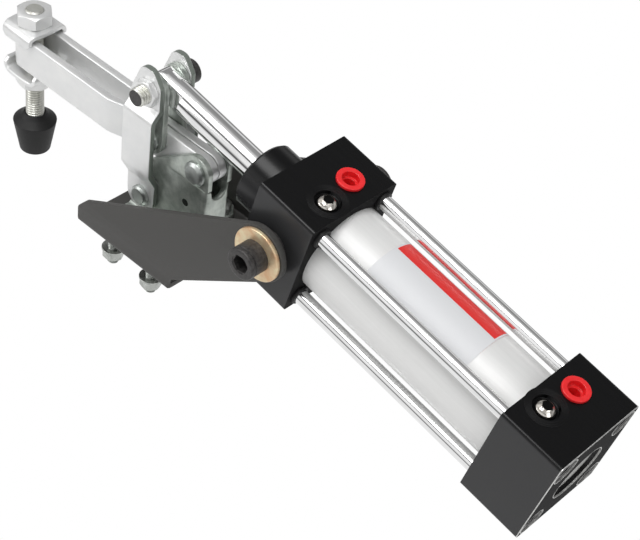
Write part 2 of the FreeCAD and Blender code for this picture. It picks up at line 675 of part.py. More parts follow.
def rubber_tip():
    """Tapered rubber foot moulded on the spindle's end, domed from its rim up to the spindle."""
    foot = Part.makeCone(TIP_BOTTOM_R, TIP_RIM_R, TIP_RIM - TIP_BOTTOM, V(SPINDLE_X, 0, TIP_BOTTOM))
    dome = Part.makeCone(TIP_RIM_R, TIP_TOP_R, TIP_TOP - TIP_RIM, V(SPINDLE_X, 0, TIP_RIM))
    hole = rod_z((SPINDLE_X, 0), SPINDLE_R, TIP_TOP - TIP_GRIP, TIP_TOP + 1)
    return foot.fuse(dome).cut(hole).removeSplitter()


# Cylinder heads and barrel

def head_block(low, high):
    """Square end block with its long edges rounded."""
    block = box((low, high), (-HALF, HALF), (-HALF, HALF))
    long_edges = [e for e in block.Edges if abs(e.tangentAt(e.FirstParameter).x) > 0.9]
    return block.makeFillet(HEAD_EDGE, long_edges)


def drill_top(body, at_x, chamber_top):
    """Port, cushion pocket and needle hole in a head's top face."""
    port_x, cushion_x = at_x
    body = body.cut(rod_z((port_x, PORT_Y), PORT_R, HALF - PORT_DEPTH, HALF + 1))
    body = body.cut(rod_z((cushion_x, CUSHION_Y), CUSHION_POCKET_R, HALF - CUSHION_POCKET_DEPTH, HALF + 1))
    return body.cut(rod_z((cushion_x, CUSHION_Y), CUSHION_NEEDLE_R + RUN, chamber_top, HALF))


def front_head():
    body = head_block(0, HEAD_LEN)
    boss = rod_x((0, 0), BOSS_R, -BOSS_LEN, 1)
    boss = boss.makeChamfer(BOSS_CHAMFER, [e for e in boss.Edges if e.BoundBox.XMax < -BOSS_LEN + 0.1])
    body = body.fuse(boss)
    body = body.cut(rod_x((0, 0), BUSH_R, -BOSS_LEN - 1, CHAMBER_FRONT))
    body = body.cut(rod_x((0, 0), CHAMBER_R, CHAMBER_FRONT, HEAD_LEN))
    body = body.cut(rod_x((0, 0), BARREL_R, HEAD_LEN - SOCKET_DEPTH, HEAD_LEN + 1))
    for at in TIES:
        body = body.cut(rod_x(at, TIE_R, HEAD_LEN - TIE_THREAD, HEAD_LEN + 1))
    for s in SIDES:
        hole_at = V(TRUNNION_X, s * (HALF + 1), 0)
        hole = Part.makeCylinder(TRUNNION_R, TRUNNION_STUD_LEN + 1, hole_at, V(0, -s, 0))
        body = body.cut(hole)
    return on_cylinder(drill_top(body, (PORT_X[0], CUSHION_X[0]), HALF - CUSHION_DEPTH - 1).removeSplitter())


def rear_cap():
    body = head_block(REAR_HEAD_X, CYL_LEN)
    chamber_end = REAR_HEAD_X + SOCKET_DEPTH + REAR_CHAMBER_LEN
    body = body.cut(rod_x((0, 0), CHAMBER_R, REAR_HEAD_X, chamber_end))
    body = body.cut(rod_x((0, 0), BARREL_R, REAR_HEAD_X - 1, REAR_HEAD_X + SOCKET_DEPTH))
    body = body.cut(rod_x((0, 0), REAR_RECESS_R, CYL_LEN - REAR_RECESS_DEPTH, CYL_LEN + 1))
    for at in TIES:
        body = body.cut(rod_x(at, TIE_R + SLIP, REAR_HEAD_X - 1, CYL_LEN))
        body = body.cut(rod_x(at, NUT_POCKET_R, CYL_LEN - NUT_POCKET_DEPTH, CYL_LEN + 1))
    return on_cylinder(drill_top(body, (PORT_X[1], CUSHION_X[1]), HALF - CUSHION_DEPTH - 1).removeSplitter())


def barrel():
    low = HEAD_LEN - SOCKET_DEPTH + GASKET_T
    high = REAR_HEAD_X + SOCKET_DEPTH - GASKET_T
    return on_cylinder(ring_x(BARREL_R, BORE_R, low, high))


def barrel_gaskets():
    low = HEAD_LEN - SOCKET_DEPTH
    high = REAR_HEAD_X + SOCKET_DEPTH
    pair = [ring_x(BARREL_R, BORE_R, low, low + GASKET_T), ring_x(BARREL_R, BORE_R, high - GASKET_T, high)]
    return on_cylinder(Part.makeCompound(pair))


def label():
    """Plain printed sticker wrapped on the barrel."""
    band = ring_x(BARREL_R + LABEL_T, BARREL_R, LABEL_X[0], LABEL_X[1])
    start, end = (math.radians(a) for a in LABEL_DEG)
    reach = 2 * BARREL_R
    corners = [V(LABEL_X[0], 0, 0)]
    for k in range(5):
        angle = start + (end - start) * k / 4
        corners.append(V(LABEL_X[0], -reach * math.cos(angle), reach * math.sin(angle)))
    wedge = polygon(corners).extrude(V(LABEL_X[1] - LABEL_X[0], 0, 0))
    return on_cylinder(band.common(wedge))


def tie_rods():
    low = HEAD_LEN - TIE_THREAD
    high = CYL_LEN - NUT_POCKET_DEPTH + TIE_INTO_NUT
    return on_cylinder(Part.makeCompound([rod_x(at, TIE_R, low, high) for at in TIES]))


def tie_rod_nuts():
    """Sleeve nuts sunk in the rear cap; their open threads take the rear mounting screws."""
    low = CYL_LEN - NUT_POCKET_DEPTH
    high = CYL_LEN - TIE_NUT_SINK
    nuts = []
    for at in TIES:
        nut = rod_x(at, TIE_NUT_R, low, high).cut(rod_x(at, TIE_R, low - 1, low + TIE_INTO_NUT))
        nuts.append(nut.cut(rod_x(at, TIE_NUT_BORE_R, low, high + 1)))
    return on_cylinder(Part.makeCompound(nuts))


def tie_rod_rings():
    """Black rings on the tie rods against the front head."""
    rings = [ring_x(RING_R, TIE_R, HEAD_LEN, HEAD_LEN + RING_T, at) for at in TIES]
    return on_cylinder(Part.makeCompound(rings))


def port_plugs():
    """Flanged transit plugs in the two air ports, with stepped blind holes."""
    plugs = []
    for x in PORT_X:
        plug = rod_z((x, PORT_Y), PORT_R - RUN, HALF - PLUG_DEPTH, HALF)
        plug = plug.fuse(rod_z((x, PORT_Y), PLUG_FLANGE_R, HALF, HALF + PLUG_FLANGE_T))
        plug = plug.cut(rod_z((x, PORT_Y), PORT_R - PLUG_WALL, HALF - PLUG_STEP, HALF + PLUG_FLANGE_T + 1))
        blind = rod_z((x, PORT_Y), PORT_R - PLUG_WALL - 1, HALF - PLUG_DEPTH + PLUG_STEP, HALF)
        plugs.append(plug.cut(blind).removeSplitter())
    return on_cylinder(Part.makeCompound(plugs))


def cushion_screw(x):
    """Cushion needle screw with a domed socket head in its pocket."""
    seat = HALF - CUSHION_POCKET_DEPTH + SLIP / 2
    head_top = HALF + CUSHION_PROUD
    body = rod_z((x, CUSHION_Y), CUSHION_NEEDLE_R, HALF - CUSHION_DEPTH, seat)
    body = body.fuse(rod_z((x, CUSHION_Y), CUSHION_HEAD_R, seat, head_top - CUSHION_RIM))
    body = body.fuse(Part.makeCone(CUSHION_HEAD_R, CUSHION_HEAD_R - CUSHION_RIM, CUSHION_RIM,
                                   V(x, CUSHION_Y, head_top - CUSHION_RIM)))
    socket = hexagon(V(x, CUSHION_Y, head_top + 1), V(0, 0, -1), CUSHION_SOCKET_AF, CUSHION_SOCKET_DEPTH + 1)
    return on_cylinder(body.cut(socket).removeSplitter())


# Rod, piston and seals

def rod_bush():
    return on_cylinder(ring_x(BUSH_R, ROD_R + RUN, -BOSS_LEN + SEAL_LEN, CHAMBER_FRONT))


def rod_seal():
    return on_cylinder(ring_x(BUSH_R, ROD_R + RUN, -BOSS_LEN, -BOSS_LEN + SEAL_LEN))


def cushion_seals():
    """Rings that close on the cushion sleeves near each end of the stroke."""
    front = HEAD_LEN - SOCKET_DEPTH
    rear = REAR_HEAD_X + SOCKET_DEPTH
    inner = CUSHION_SLEEVE_R + 2 * RUN
    pair = [ring_x(CHAMBER_R, inner, front - CUSHION_SEAL_W, front),
            ring_x(CHAMBER_R, inner, rear, rear + CUSHION_SEAL_W)]
    return on_cylinder(Part.makeCompound(pair))


def piston_rod():
    """Chromed rod with a flat-sided tongue at the knuckle and a spigot through the piston."""
    shoulder = ROD_TIP_X + TONGUE_LEN
    spigot_end = PISTON_X + PISTON_LEN + CUSHION_SLEEVE_LEN + PISTON_NUT_H
    body = rod_x((0, 0), ROD_R, shoulder, PISTON_X).fuse(rod_x((0, 0), SPIGOT_R, PISTON_X, spigot_end))
    tongue = rod_x((0, 0), ROD_R, ROD_TIP_X, shoulder)
    end = Part.makeCylinder(TONGUE_END_R, 2 * ROD_R, V(ROD_TIP_X, -ROD_R, 0), V(0, 1, 0))
    end = end.common(Part.makeCylinder(ROD_R, 2 * ROD_R, V(ROD_TIP_X - ROD_R, 0, 0), V(1, 0, 0)))
    tongue = tongue.fuse(end)
    tongue = tongue.common(box((ROD_TIP_X - ROD_R, shoulder), (-TONGUE_HALF, TONGUE_HALF), (-ROD_R, ROD_R)))
    hole = Part.makeCylinder(KNUCKLE_R + RUN, 2 * ROD_R, V(ROD_TIP_X, -ROD_R, 0), V(0, 1, 0))
    return on_cylinder(body.fuse(tongue).cut(hole).removeSplitter())


def piston():
    low, high = PISTON_X, PISTON_X + PISTON_LEN
    body = ring_x(PISTON_R, SPIGOT_R, low, high)
    middle = (low + high) / 2
    for start, width in ((low + SEAL_OFFSET - SEAL_W, SEAL_W), (high - SEAL_OFFSET, SEAL_W)):
        body = body.cut(ring_x(PISTON_R + 1, GROOVE_R, start, start + width))
    groove = ring_x(PISTON_R + 1, WEAR_GROOVE_R, middle - WEAR_W / 2, middle + WEAR_W / 2)
    return on_cylinder(body.cut(groove))


def piston_seals():
    low, high = PISTON_X, PISTON_X + PISTON_LEN
    outer = BORE_R - RUN
    pair = [ring_x(outer, GROOVE_R, start, start + SEAL_W)
            for start in (low + SEAL_OFFSET - SEAL_W, high - SEAL_OFFSET)]
    return on_cylinder(Part.makeCompound(pair))


def wear_ring():
    middle = PISTON_X + PISTON_LEN / 2
    return on_cylinder(ring_x(BORE_R - RUN, WEAR_GROOVE_R, middle - WEAR_W / 2, middle + WEAR_W / 2))


def cushion_sleeves():
    """Sleeves each side of the piston that enter the heads' cushion chambers."""
    rear = PISTON_X + PISTON_LEN
    pair = [ring_x(CUSHION_SLEEVE_R, ROD_R, PISTON_X - CUSHION_SLEEVE_LEN, PISTON_X),
            ring_x(CUSHION_SLEEVE_R, SPIGOT_R, rear, rear + CUSHION_SLEEVE_LEN)]
    return on_cylinder(Part.makeCompound(pair))


def piston_nut():
    start = PISTON_X + PISTON_LEN + CUSHION_SLEEVE_LEN
    return on_cylinder(hex_nut(V(start, 0, 0), V(1, 0, 0), PISTON_NUT_AF, PISTON_NUT_H, SPIGOT_R))


NODES = {
    "bracket": bracket, "clamp_base": clamp_base, "base_bolts": base_bolts, "base_washers": base_washers,
    "base_nuts": base_nuts, "link_rivet": link_rivet, "arm_rivet": arm_rivet,
    "trunnion_washers": trunnion_washers, "trunnion_screws": trunnion_screws,
    "trunnion_spacers": trunnion_spacers, "trunnion_studs": trunnion_studs,
    "link_plate_near": lambda: link_plate(-1), "link_plate_far": lambda: link_plate(1),
    "coupler_plate_near": lambda: coupler_plate(-1), "coupler_plate_far": lambda: coupler_plate(1),
    "coupler_rivets": coupler_rivets, "knuckle_bolt": knuckle_bolt, "knuckle_nut": knuckle_nut,
    "clamp_arm": clamp_arm, "toggle_pin": toggle_pin,
    "saddle_washer_top": saddle_washer_top, "saddle_washer_bottom": saddle_washer_bottom,
    "spindle": spindle, "spindle_nut_top": spindle_nut_top, "spindle_nut_bottom": spindle_nut_bottom,
    "rubber_tip": rubber_tip,
    "front_head": front_head, "rear_cap": rear_cap, "barrel": barrel, "barrel_gaskets": barrel_gaskets,
    "label": label, "tie_rods": tie_rods, "tie_rod_nuts": tie_rod_nuts, "tie_rod_rings": tie_rod_rings,
    "port_plugs": port_plugs, "cushion_screw_front": lambda: cushion_screw(CUSHION_X[0]),
    "cushion_screw_rear": lambda: cushion_screw(CUSHION_X[1]), "rod_bush": rod_bush, "rod_seal": rod_seal,
    "cushion_seals": cushion_seals, "piston_rod": piston_rod, "piston": piston, "piston_seals": piston_seals,
    "wear_ring": wear_ring, "cushion_sleeves": cushion_sleeves, "piston_nut": piston_nut,
}

os.makedirs("parts", exist_ok=True)
for name, make in NODES.items():
    make().exportStep("parts/" + name + ".step")
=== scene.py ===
"""Pneumatic cylinder in its toggle clamp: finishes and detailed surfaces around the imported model."""
import json
import math

import bmesh
import bpy
import numpy as np
from mathutils import Matrix, Vector


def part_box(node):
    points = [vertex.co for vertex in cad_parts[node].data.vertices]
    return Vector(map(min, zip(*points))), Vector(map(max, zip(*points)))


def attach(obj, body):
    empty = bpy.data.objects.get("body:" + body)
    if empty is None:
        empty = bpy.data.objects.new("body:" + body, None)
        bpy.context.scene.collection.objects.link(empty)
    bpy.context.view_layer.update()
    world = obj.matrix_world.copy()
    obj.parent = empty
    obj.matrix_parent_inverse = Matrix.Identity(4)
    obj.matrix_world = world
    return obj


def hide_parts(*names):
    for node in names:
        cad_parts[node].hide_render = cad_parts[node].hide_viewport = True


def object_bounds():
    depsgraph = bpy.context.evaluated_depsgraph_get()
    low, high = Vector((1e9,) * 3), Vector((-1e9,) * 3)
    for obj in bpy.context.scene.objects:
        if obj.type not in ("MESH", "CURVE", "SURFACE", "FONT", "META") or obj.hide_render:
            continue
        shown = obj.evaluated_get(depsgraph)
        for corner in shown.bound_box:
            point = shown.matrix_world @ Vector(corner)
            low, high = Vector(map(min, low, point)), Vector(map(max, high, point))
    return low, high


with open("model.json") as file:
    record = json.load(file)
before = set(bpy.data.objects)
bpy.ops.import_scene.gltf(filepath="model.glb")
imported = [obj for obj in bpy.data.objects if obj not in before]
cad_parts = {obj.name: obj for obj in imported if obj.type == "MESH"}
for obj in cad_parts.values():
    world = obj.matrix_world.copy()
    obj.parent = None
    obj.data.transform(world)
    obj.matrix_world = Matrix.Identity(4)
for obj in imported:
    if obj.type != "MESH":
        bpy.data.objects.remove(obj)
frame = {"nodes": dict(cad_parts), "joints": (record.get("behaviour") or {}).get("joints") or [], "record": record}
cad_box = [list(corner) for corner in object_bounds()]
MM = 0.001


# Stage: a plain pale floor below the bolts, three broad soft lamps and a bright world,
# as a small product stands in a light tent.  The camera looks down from the rear corner.
def linear(code):
    """Linear colour from sRGB hex: each channel through the sRGB curve."""
    values = np.array([int(code[i:i + 2], 16) for i in (1, 3, 5)]) / 255
    values = np.where(values <= 0.04045, values / 12.92, ((values + 0.055) / 1.055) ** 2.4)
    return (*values.tolist(), 1.0)


def add(tree, kind, props=None, inputs=None):
    """Adds a node, sets its properties, and sets or links its inputs."""
    made = tree.nodes.new(kind)
    for name, value in (props or {}).items():
        setattr(made, name, value)
    for name, value in (inputs or {}).items():
        if isinstance(value, bpy.types.NodeSocket):
            tree.links.new(value, made.inputs[name])
        else:
            made.inputs[name].default_value = value
    return made


CAMERA_AZIMUTH = math.radians(37.66)
CAMERA_ELEVATION = math.radians(42.17)
CAMERA_ROLL = math.radians(8.73)
CAMERA_DISTANCE = 630.6 * MM
CAMERA_AIM = Vector((80.1, 3.05, 29.1)) * MM
camera_data = bpy.data.cameras.new("camera")
camera_data.lens = 93.06
camera_data.sensor_width = 36.0
camera_data.clip_start = 0.01
camera = bpy.data.objects.new("camera", camera_data)
turn = (Matrix.Rotation(CAMERA_AZIMUTH, 4, "Z") @ Matrix.Rotation(math.pi / 2 - CAMERA_ELEVATION, 4, "X")
        @ Matrix.Rotation(CAMERA_ROLL, 4, "Z"))
camera.matrix_world = Matrix.Translation(CAMERA_AIM) @ turn @ Matrix.Translation((0, 0, CAMERA_DISTANCE))
bpy.context.scene.collection.objects.link(camera)
bpy.context.scene.camera = camera
bpy.context.scene.view_settings.view_transform = "Standard"


def backdrop(tree, dull, glossy, bright, output):
    """Camera and transmission rays see plain white, glossy rays their own shade, the rest the dull one."""
    path = add(tree, "ShaderNodeLightPath")
    seen = add(tree, "ShaderNodeMath", {"operation": "MAXIMUM"}, {0: path.outputs["Is Camera Ray"],
                                                                   1: path.outputs["Is Transmission Ray"]})
    inner = add(tree, "ShaderNodeMixShader", inputs={0: path.outputs["Is Glossy Ray"], 1: dull.outputs[0],
                                                     2: glossy.outputs[0]})
    outer = add(tree, "ShaderNodeMixShader",
                inputs={0: seen.outputs[0], 1: inner.outputs[0], 2: bright.outputs[0]})
    add(tree, output, inputs={"Surface": outer.outputs[0]})


white = bpy.data.materials.new("stage_white")
white.use_nodes = True
tree = white.node_tree
tree.nodes.clear()
spot = add(tree, "ShaderNodeTexCoord")
away = add(tree, "ShaderNodeVectorMath", {"operation": "LENGTH"}, {0: spot.outputs["Object"]})
# The floor that metal mirrors falls off from 0.25 to 0.8 m away, as paper does outside the lamps.
sweep = add(tree, "ShaderNodeMapRange", inputs={"Value": away.outputs["Value"], "From Min": 0.25,
                                                "From Max": 0.8, "To Min": 0.92, "To Max": 0.12})
backdrop(tree, add(tree, "ShaderNodeBsdfDiffuse", inputs={"Color": linear("#f4f4f4")}),
         add(tree, "ShaderNodeEmission", inputs={"Color": linear("#ffffff"), "Strength": sweep.outputs[0]}),
         add(tree, "ShaderNodeEmission", inputs={"Color": linear("#ffffff"), "Strength": 1.0}),
         "ShaderNodeOutputMaterial")
FLOOR_Z = cad_box[0][2] - 2 * MM
FLOOR_HALF = 3.0
floor_mesh = bpy.data.meshes.new("floor")
floor_corners = [(x * FLOOR_HALF, y * FLOOR_HALF, FLOOR_Z) for x, y in ((-1, -1), (1, -1), (1, 1), (-1, 1))]
floor_mesh.from_pydata(floor_corners, [], [(0, 1, 2, 3)])
floor_mesh.materials.append(white)
floor = bpy.data.objects.new("floor", floor_mesh)
bpy.context.scene.collection.objects.link(floor)

world = bpy.data.worlds.new("world")
world.use_nodes = True
bpy.context.scene.world = world
tree = world.node_tree
tree.nodes.clear()
where = add(tree, "ShaderNodeTexCoord")
axes = add(tree, "ShaderNodeSeparateXYZ", inputs={0: where.outputs["Generated"]})
round_x = add(tree, "ShaderNodeMath", {"operation": "ARCTAN2"}, {0: axes.outputs[1], 1: axes.outputs[2]})
share = add(tree, "ShaderNodeMapRange", inputs={"Value": round_x.outputs[0], "From Min": -math.pi,
                                                "From Max": math.pi})
tent = add(tree, "ShaderNodeValToRGB", inputs={0: share.outputs[0]})
# What metal mirrors, by the angle about X from straight up towards the far side: softboxes with
# narrow gaps at -40 and -29, a grey card from 28 to 56 degrees, and a dark room below 15 degrees of height.
TENT = [(-180, 0.9), (-46, 1.0), (-42, 0.06), (-38, 0.06), (-35, 0.8), (-31, 0.8), (-30, 0.1), (-28, 0.1),
        (-25, 1.0), (-4, 1.0), (16, 0.7), (28, 0.34), (56, 0.28), (68, 0.85), (180, 0.9)]
while len(tent.color_ramp.elements) < len(TENT):
    tent.color_ramp.elements.new(1.0)
for stop, (angle, level) in zip(tent.color_ramp.elements, TENT):
    stop.position = (angle + 180) / 360
    stop.color = (level, level, level, 1.0)
room = add(tree, "ShaderNodeMapRange", inputs={"Value": axes.outputs[2], "From Min": 0.02, "From Max": 0.26,
                                               "To Min": 0.08, "To Max": 0.95})
backdrop(tree, add(tree, "ShaderNodeBackground", inputs={"Color": linear("#ffffff"), "Strength": 0.5}),
         add(tree, "ShaderNodeBackground", inputs={"Color": tent.outputs[0], "Strength": room.outputs[0]}),
         add(tree, "ShaderNodeBackground", inputs={"Color": linear("#ffffff"), "Strength": 1.0}),
         "ShaderNodeOutputWorld")


def lamp(name, place, aim, size, watts):
    """Square area lamp at a place, turned to face its aim."""
    data = bpy.data.lights.new(name, "AREA")
    data.size = size
    data.energy = watts
    made = bpy.data.objects.new(name, data)
    made.matrix_world = (Matrix.Translation(place)
                         @ (Vector(place) - Vector(aim)).to_track_quat("Z", "Y").to_matrix().to_4x4())
    bpy.context.scene.collection.objects.link(made)


lamp("top_lamp", (0.0, -0.25, 0.95), (0.06, 0, 0.03), 0.5, 5.0)
lamp("left_lamp", (-0.55, -0.7, 0.45), (0.0, 0, 0.03), 0.5, 2.4)
lamp("rear_lamp", (0.9, -0.1, 0.35), (0.1, 0, 0.03), 0.4, 1.2)


# Bracket: one piece of 2.5 mm steel sheet, blanked and bent up into a floor and two long side
# plates with a round lobe at each trunnion, then powder-coated an even dark grey.
record = frame["record"]
HOMES = {node: body for body, nodes in record["behaviour"]["bodies"].items() for node in nodes}
PIVOTS = {joint["name"]: np.array(joint["pos_m"]) / MM for joint in frame["joints"] if "pos_m" in joint}
LINK_PIVOT = PIVOTS["link_swing"]
ARM_PIVOT = PIVOTS["arm_swing"]
KNUCKLE = PIVOTS["rod_tilt"]
ALONG, ACROSS, UP = np.eye(3)
SHEET = 2.5


def skin(name, grids, material, *nodes, on=None):
    """One piece from (rows, columns, 3) grids in mm: each cell is a face, and seams and poles are welded.
    It rides on its first node's body and stands for all the nodes named, or only lies on the one it is on."""
    faces, runs, base = [], [], 0
    for grid in grids:
        rows, columns = grid.shape[:2]
        shares = (np.linspace(0, 1, rows), np.linspace(0, 1, columns))
        runs.append(np.stack(np.meshgrid(*shares, indexing="ij"), -1))
        index = np.arange(rows * columns).reshape(rows, columns) + base
        cells = np.stack([index[:-1, :-1], index[1:, :-1], index[1:, 1:], index[:-1, 1:]], -1)
        faces.append(cells.reshape(-1, 4))
        base += rows * columns
    points = np.concatenate([grid.reshape(-1, 3) for grid in grids])
    mesh = bpy.data.meshes.new(name)
    faces = np.concatenate(faces)
    mesh.from_pydata((points * MM).tolist(), [], faces.tolist())
    runs = np.concatenate([run.reshape(-1, 2) for run in runs])
    mesh.uv_layers.new(name="run").data.foreach_set("uv", runs[faces.ravel()].ravel())
    work = bmesh.new()
    work.from_mesh(mesh)
    bmesh.ops.remove_doubles(work, verts=work.verts, dist=0.0005 * MM)
    bmesh.ops.dissolve_degenerate(work, edges=work.edges, dist=0.0001 * MM)
    bmesh.ops.recalc_face_normals(work, faces=work.faces)
    work.to_mesh(mesh)
    work.free()
    mesh.shade_smooth()
    mesh.set_sharp_from_angle(angle=math.radians(34))
    mesh.materials.append(material)
    piece = bpy.data.objects.new(name, mesh)
    bpy.context.scene.collection.objects.link(piece)
    home = on or nodes[0]
    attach(piece, HOMES[home])
    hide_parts(*nodes)


def rounded(points, radii, closed=True, steps=6):
    """Outline whose corners are arcs: each touches both sides, radius / tan(half the corner) away from it."""
    points = np.asarray(points, float)
    radii = np.broadcast_to(radii, len(points))
    found = []
    for i, (here, radius) in enumerate(zip(points, radii)):
        if radius == 0 or (not closed and i in (0, len(points) - 1)):
            found.append(here[None])
            continue
        back = points[i - 1] - here
        ahead = points[(i + 1) % len(points)] - here
        back /= np.linalg.norm(back)
        ahead /= np.linalg.norm(ahead)
        half = math.acos(np.clip(back @ ahead, -1, 1)) / 2
        middle = here + (back + ahead) / np.linalg.norm(back + ahead) * radius / math.sin(half)
        start, end = (here + side * radius / math.tan(half) - middle for side in (back, ahead))
        share = np.linspace(0, 1, steps + 1)[:, None]
        chord = start * (1 - share) + end * share
        found.append(middle + chord / np.linalg.norm(chord, axis=1, keepdims=True) * radius)
    return np.concatenate(found)


def arc(middle, radius, start, end, steps=24):
    """Points on a circle between two angles in degrees."""
    angle = np.radians(np.linspace(start, end, steps + 1))
    return np.asarray(middle) + radius * np.stack([np.cos(angle), np.sin(angle)], 1)


def stations(path, spacing, ease=6.0):
    """Points along a polyline at even steps, drawn together near both ends as the square of the distance."""
    run = np.concatenate([[0], np.cumsum(np.linalg.norm(np.diff(path, axis=0), axis=1))])
    near = ease * np.linspace(0, 1, 14) ** 2
    even = np.arange(ease, run[-1] - ease, spacing)[1:]
    at = np.concatenate([near, even, run[-1] - near[::-1]])
    return np.stack([np.interp(at, run, column) for column in path.T], 1)


def limits(outline, height):
    """Lowest and highest first coordinate of a closed outline at each height of its second."""
    following = np.roll(outline, -1, axis=0)
    rise = following[:, 1] - outline[:, 1]
    rise = np.where(np.abs(rise) < 1e-9, np.nan, rise)
    share = (height[:, None] - outline[:, 1]) / rise
    where = outline[:, 0] + share * (following[:, 0] - outline[:, 0])
    where = np.where((share >= -1e-6) & (share <= 1 + 1e-6), where, np.nan)
    return np.nanmin(where, axis=1), np.nanmax(where, axis=1)


def ribbon(path, wide, low, high, thick, edge=0.4):
    """Sheet along a path: at each point a rounded rectangle runs from low to high along one fixed direction,
    with its thickness along the normal of path and direction.  Both ends close on their middle."""
    normal = np.cross(np.gradient(path, axis=0), wide)
    normal /= np.linalg.norm(normal, axis=1, keepdims=True)
    low, high = (np.broadcast_to(side, len(path))[:, None] for side in (low, high))
    edge = np.minimum(edge, (high - low) / 2.001)
    corner = np.repeat(np.arange(4), 4)
    angle = np.radians(90 * corner + np.tile([0, 30, 60, 90], 4))
    width = np.where(np.isin(corner, (0, 3)), high - edge, low + edge) + edge * np.cos(angle)
    lift = np.where(corner < 2, 1, -1) * (thick / 2 - edge) + edge * np.sin(angle)
    width, lift = (np.column_stack([side, side[:, :1]]) for side in (width, lift))
    grid = path[:, None] + width[..., None] * wide + lift[..., None] * normal[:, None]
    ends = [np.broadcast_to(grid[row].mean(axis=0), grid[row].shape)[None] for row in (0, -1)]
    return np.concatenate([ends[0], grid, ends[1]])


def side_path(points):
    """Path in the YZ plane as 3-D points."""
    return np.column_stack([np.zeros(len(points)), points])


def principled(name, **values):
    """New material whose Principled shader takes the values named; returned with its tree and shader."""
    made = bpy.data.materials.new(name)
    made.use_nodes = True
    shader = made.node_tree.nodes["Principled BSDF"]
    for key, value in values.items():
        shader.inputs[key.replace("_", " ")].default_value = value
    return made, made.node_tree, shader


# A colour Mix node keeps its two colours in these sockets.
FIRST = 6
SECOND = 7


def mottle(tree, shader, dark, light, size, drawn=1, tilt=0.0, detail=4.0, rough=None, bump=0.0,
           low=0.35, high=0.65):
    """Noise of a real size in mm drives colour, roughness and a bump in mm; on a drawn bar it is so many
    times longer along X, tilted about Y."""
    where = add(tree, "ShaderNodeTexCoord")
    place = add(tree, "ShaderNodeMapping", {"vector_type": "TEXTURE"},
                {"Vector": where.outputs["Object"], "Rotation": (0, tilt, 0), "Scale": (drawn, 1, 1)})
    grain = add(tree, "ShaderNodeTexNoise", inputs={"Vector": place.outputs[0], "Scale": 1 / (size * MM),
                                                    "Detail": detail, "Roughness": 0.6})
    span = {"Value": grain.outputs[0], "From Min": low, "From Max": high}
    ramp = add(tree, "ShaderNodeMapRange", inputs=span)
    mix = add(tree, "ShaderNodeMix", {"data_type": "RGBA"},
              {"Factor": ramp.outputs[0], FIRST: linear(dark), SECOND: linear(light)})
    tree.links.new(mix.outputs[2], shader.inputs["Base Color"])
    if rough:
        gloss = add(tree, "ShaderNodeMapRange", inputs={**span, "To Min": rough[0], "To Max": rough[1]})
        tree.links.new(gloss.outputs[0], shader.inputs["Roughness"])
    if bump:
        dent = add(tree, "ShaderNodeBump", inputs={"Height": grain.outputs[0], "Distance": bump * MM})
        tree.links.new(dent.outputs[0], shader.inputs["Normal"])
    return mix


def dress(material, *nodes):
    """Gives CAD nodes a material."""
    for node in nodes:
        mesh = frame["nodes"][node].data
        mesh.materials.clear()
        mesh.materials.append(material)


# Orange peel of a powder coat is about 1 mm across and only just shows.
powder_coat, tree, shader = principled("powder_coated_steel")
mottle(tree, shader, "#363533", "#3d3c3a", 1.2, bump=0.008, rough=(0.5, 0.6))
low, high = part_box("bracket")
BRACKET_HALF = high.y / MM
BRACKET_TOP = high.z / MM
FLOOR_FRONT = low.x / MM
FLOOR_REAR = 29.6
LOBE_R = 11.8
LOBE = np.array([high.x / MM - LOBE_R, BRACKET_TOP - LOBE_R])
TOP_SLOPE = 29.4
LOW_SLOPE = 36.9
lobe = arc(LOBE, LOBE_R, 90 + TOP_SLOPE, LOW_SLOPE - 90)[::-1]
heel = rounded([(FLOOR_REAR, 0), (FLOOR_REAR, 6.0), lobe[0], lobe[1]], [0, 6, 0, 0])[:-2]
toe = rounded([lobe[-1], (FLOOR_FRONT + 4.1, 13.6), (FLOOR_FRONT, 9.0), (FLOOR_FRONT, 0)], [0, 3, 3, 0])[1:]
blank = np.concatenate([heel, lobe, toe])
centre = BRACKET_HALF - SHEET / 2
fold = rounded([(-centre, BRACKET_TOP), (-centre, SHEET / 2), (centre, SHEET / 2), (centre, BRACKET_TOP)],
               1.75, False)
path = side_path(stations(fold, 0.8))
ends = limits(blank, np.clip(path[:, 2], 0.01, BRACKET_TOP - 0.001))
skin("bracket", [ribbon(path, ALONG, *ends, SHEET, 0.3)], powder_coat, "bracket")


# Clamp base: stamped from 2.5 mm steel, two cheeks joined by a scooped rear web and bent out
# into foot flanges, then zinc-plated with a green-grey passivation that pools in its corners.
green_zinc, tree, shader = principled("green_passivated_zinc", Metallic=0.7)
mottle(tree, shader, "#949b95", "#c6ccc5", 5.0, detail=6.0, rough=(0.28, 0.4), bump=0.004, low=0.3, high=0.7)
CHEEK_MID = 5.35
CHEEK_REAR = 27.3
LOBE_SMALL = 7.5
WEB_TOP = 37.0
SCOOP_LOW = 31.5
FOOT_FRONT = -16.0
FOOT_REAR = 17.0
FOOT_SIDE = 25.0
FOOT_CORNER = 4.0
lobe = arc(ARM_PIVOT[[0, 2]], LOBE_SMALL, 128.4, 18.8)
cheek = np.concatenate([rounded([(LINK_PIVOT[0] - 8.8, 0), (LINK_PIVOT[0] - 8.8, 22.0),
                                 (LINK_PIVOT[0] + 1.2, LINK_PIVOT[2] + 17.9), lobe[0]], [0, 5, 6, 0]), lobe,
                        [(CHEEK_REAR, WEB_TOP), (CHEEK_REAR - 3, WEB_TOP - 0.5), (CHEEK_REAR - 3, 0)]])
cheek_top = cheek[:, 1].max()
shapes = []
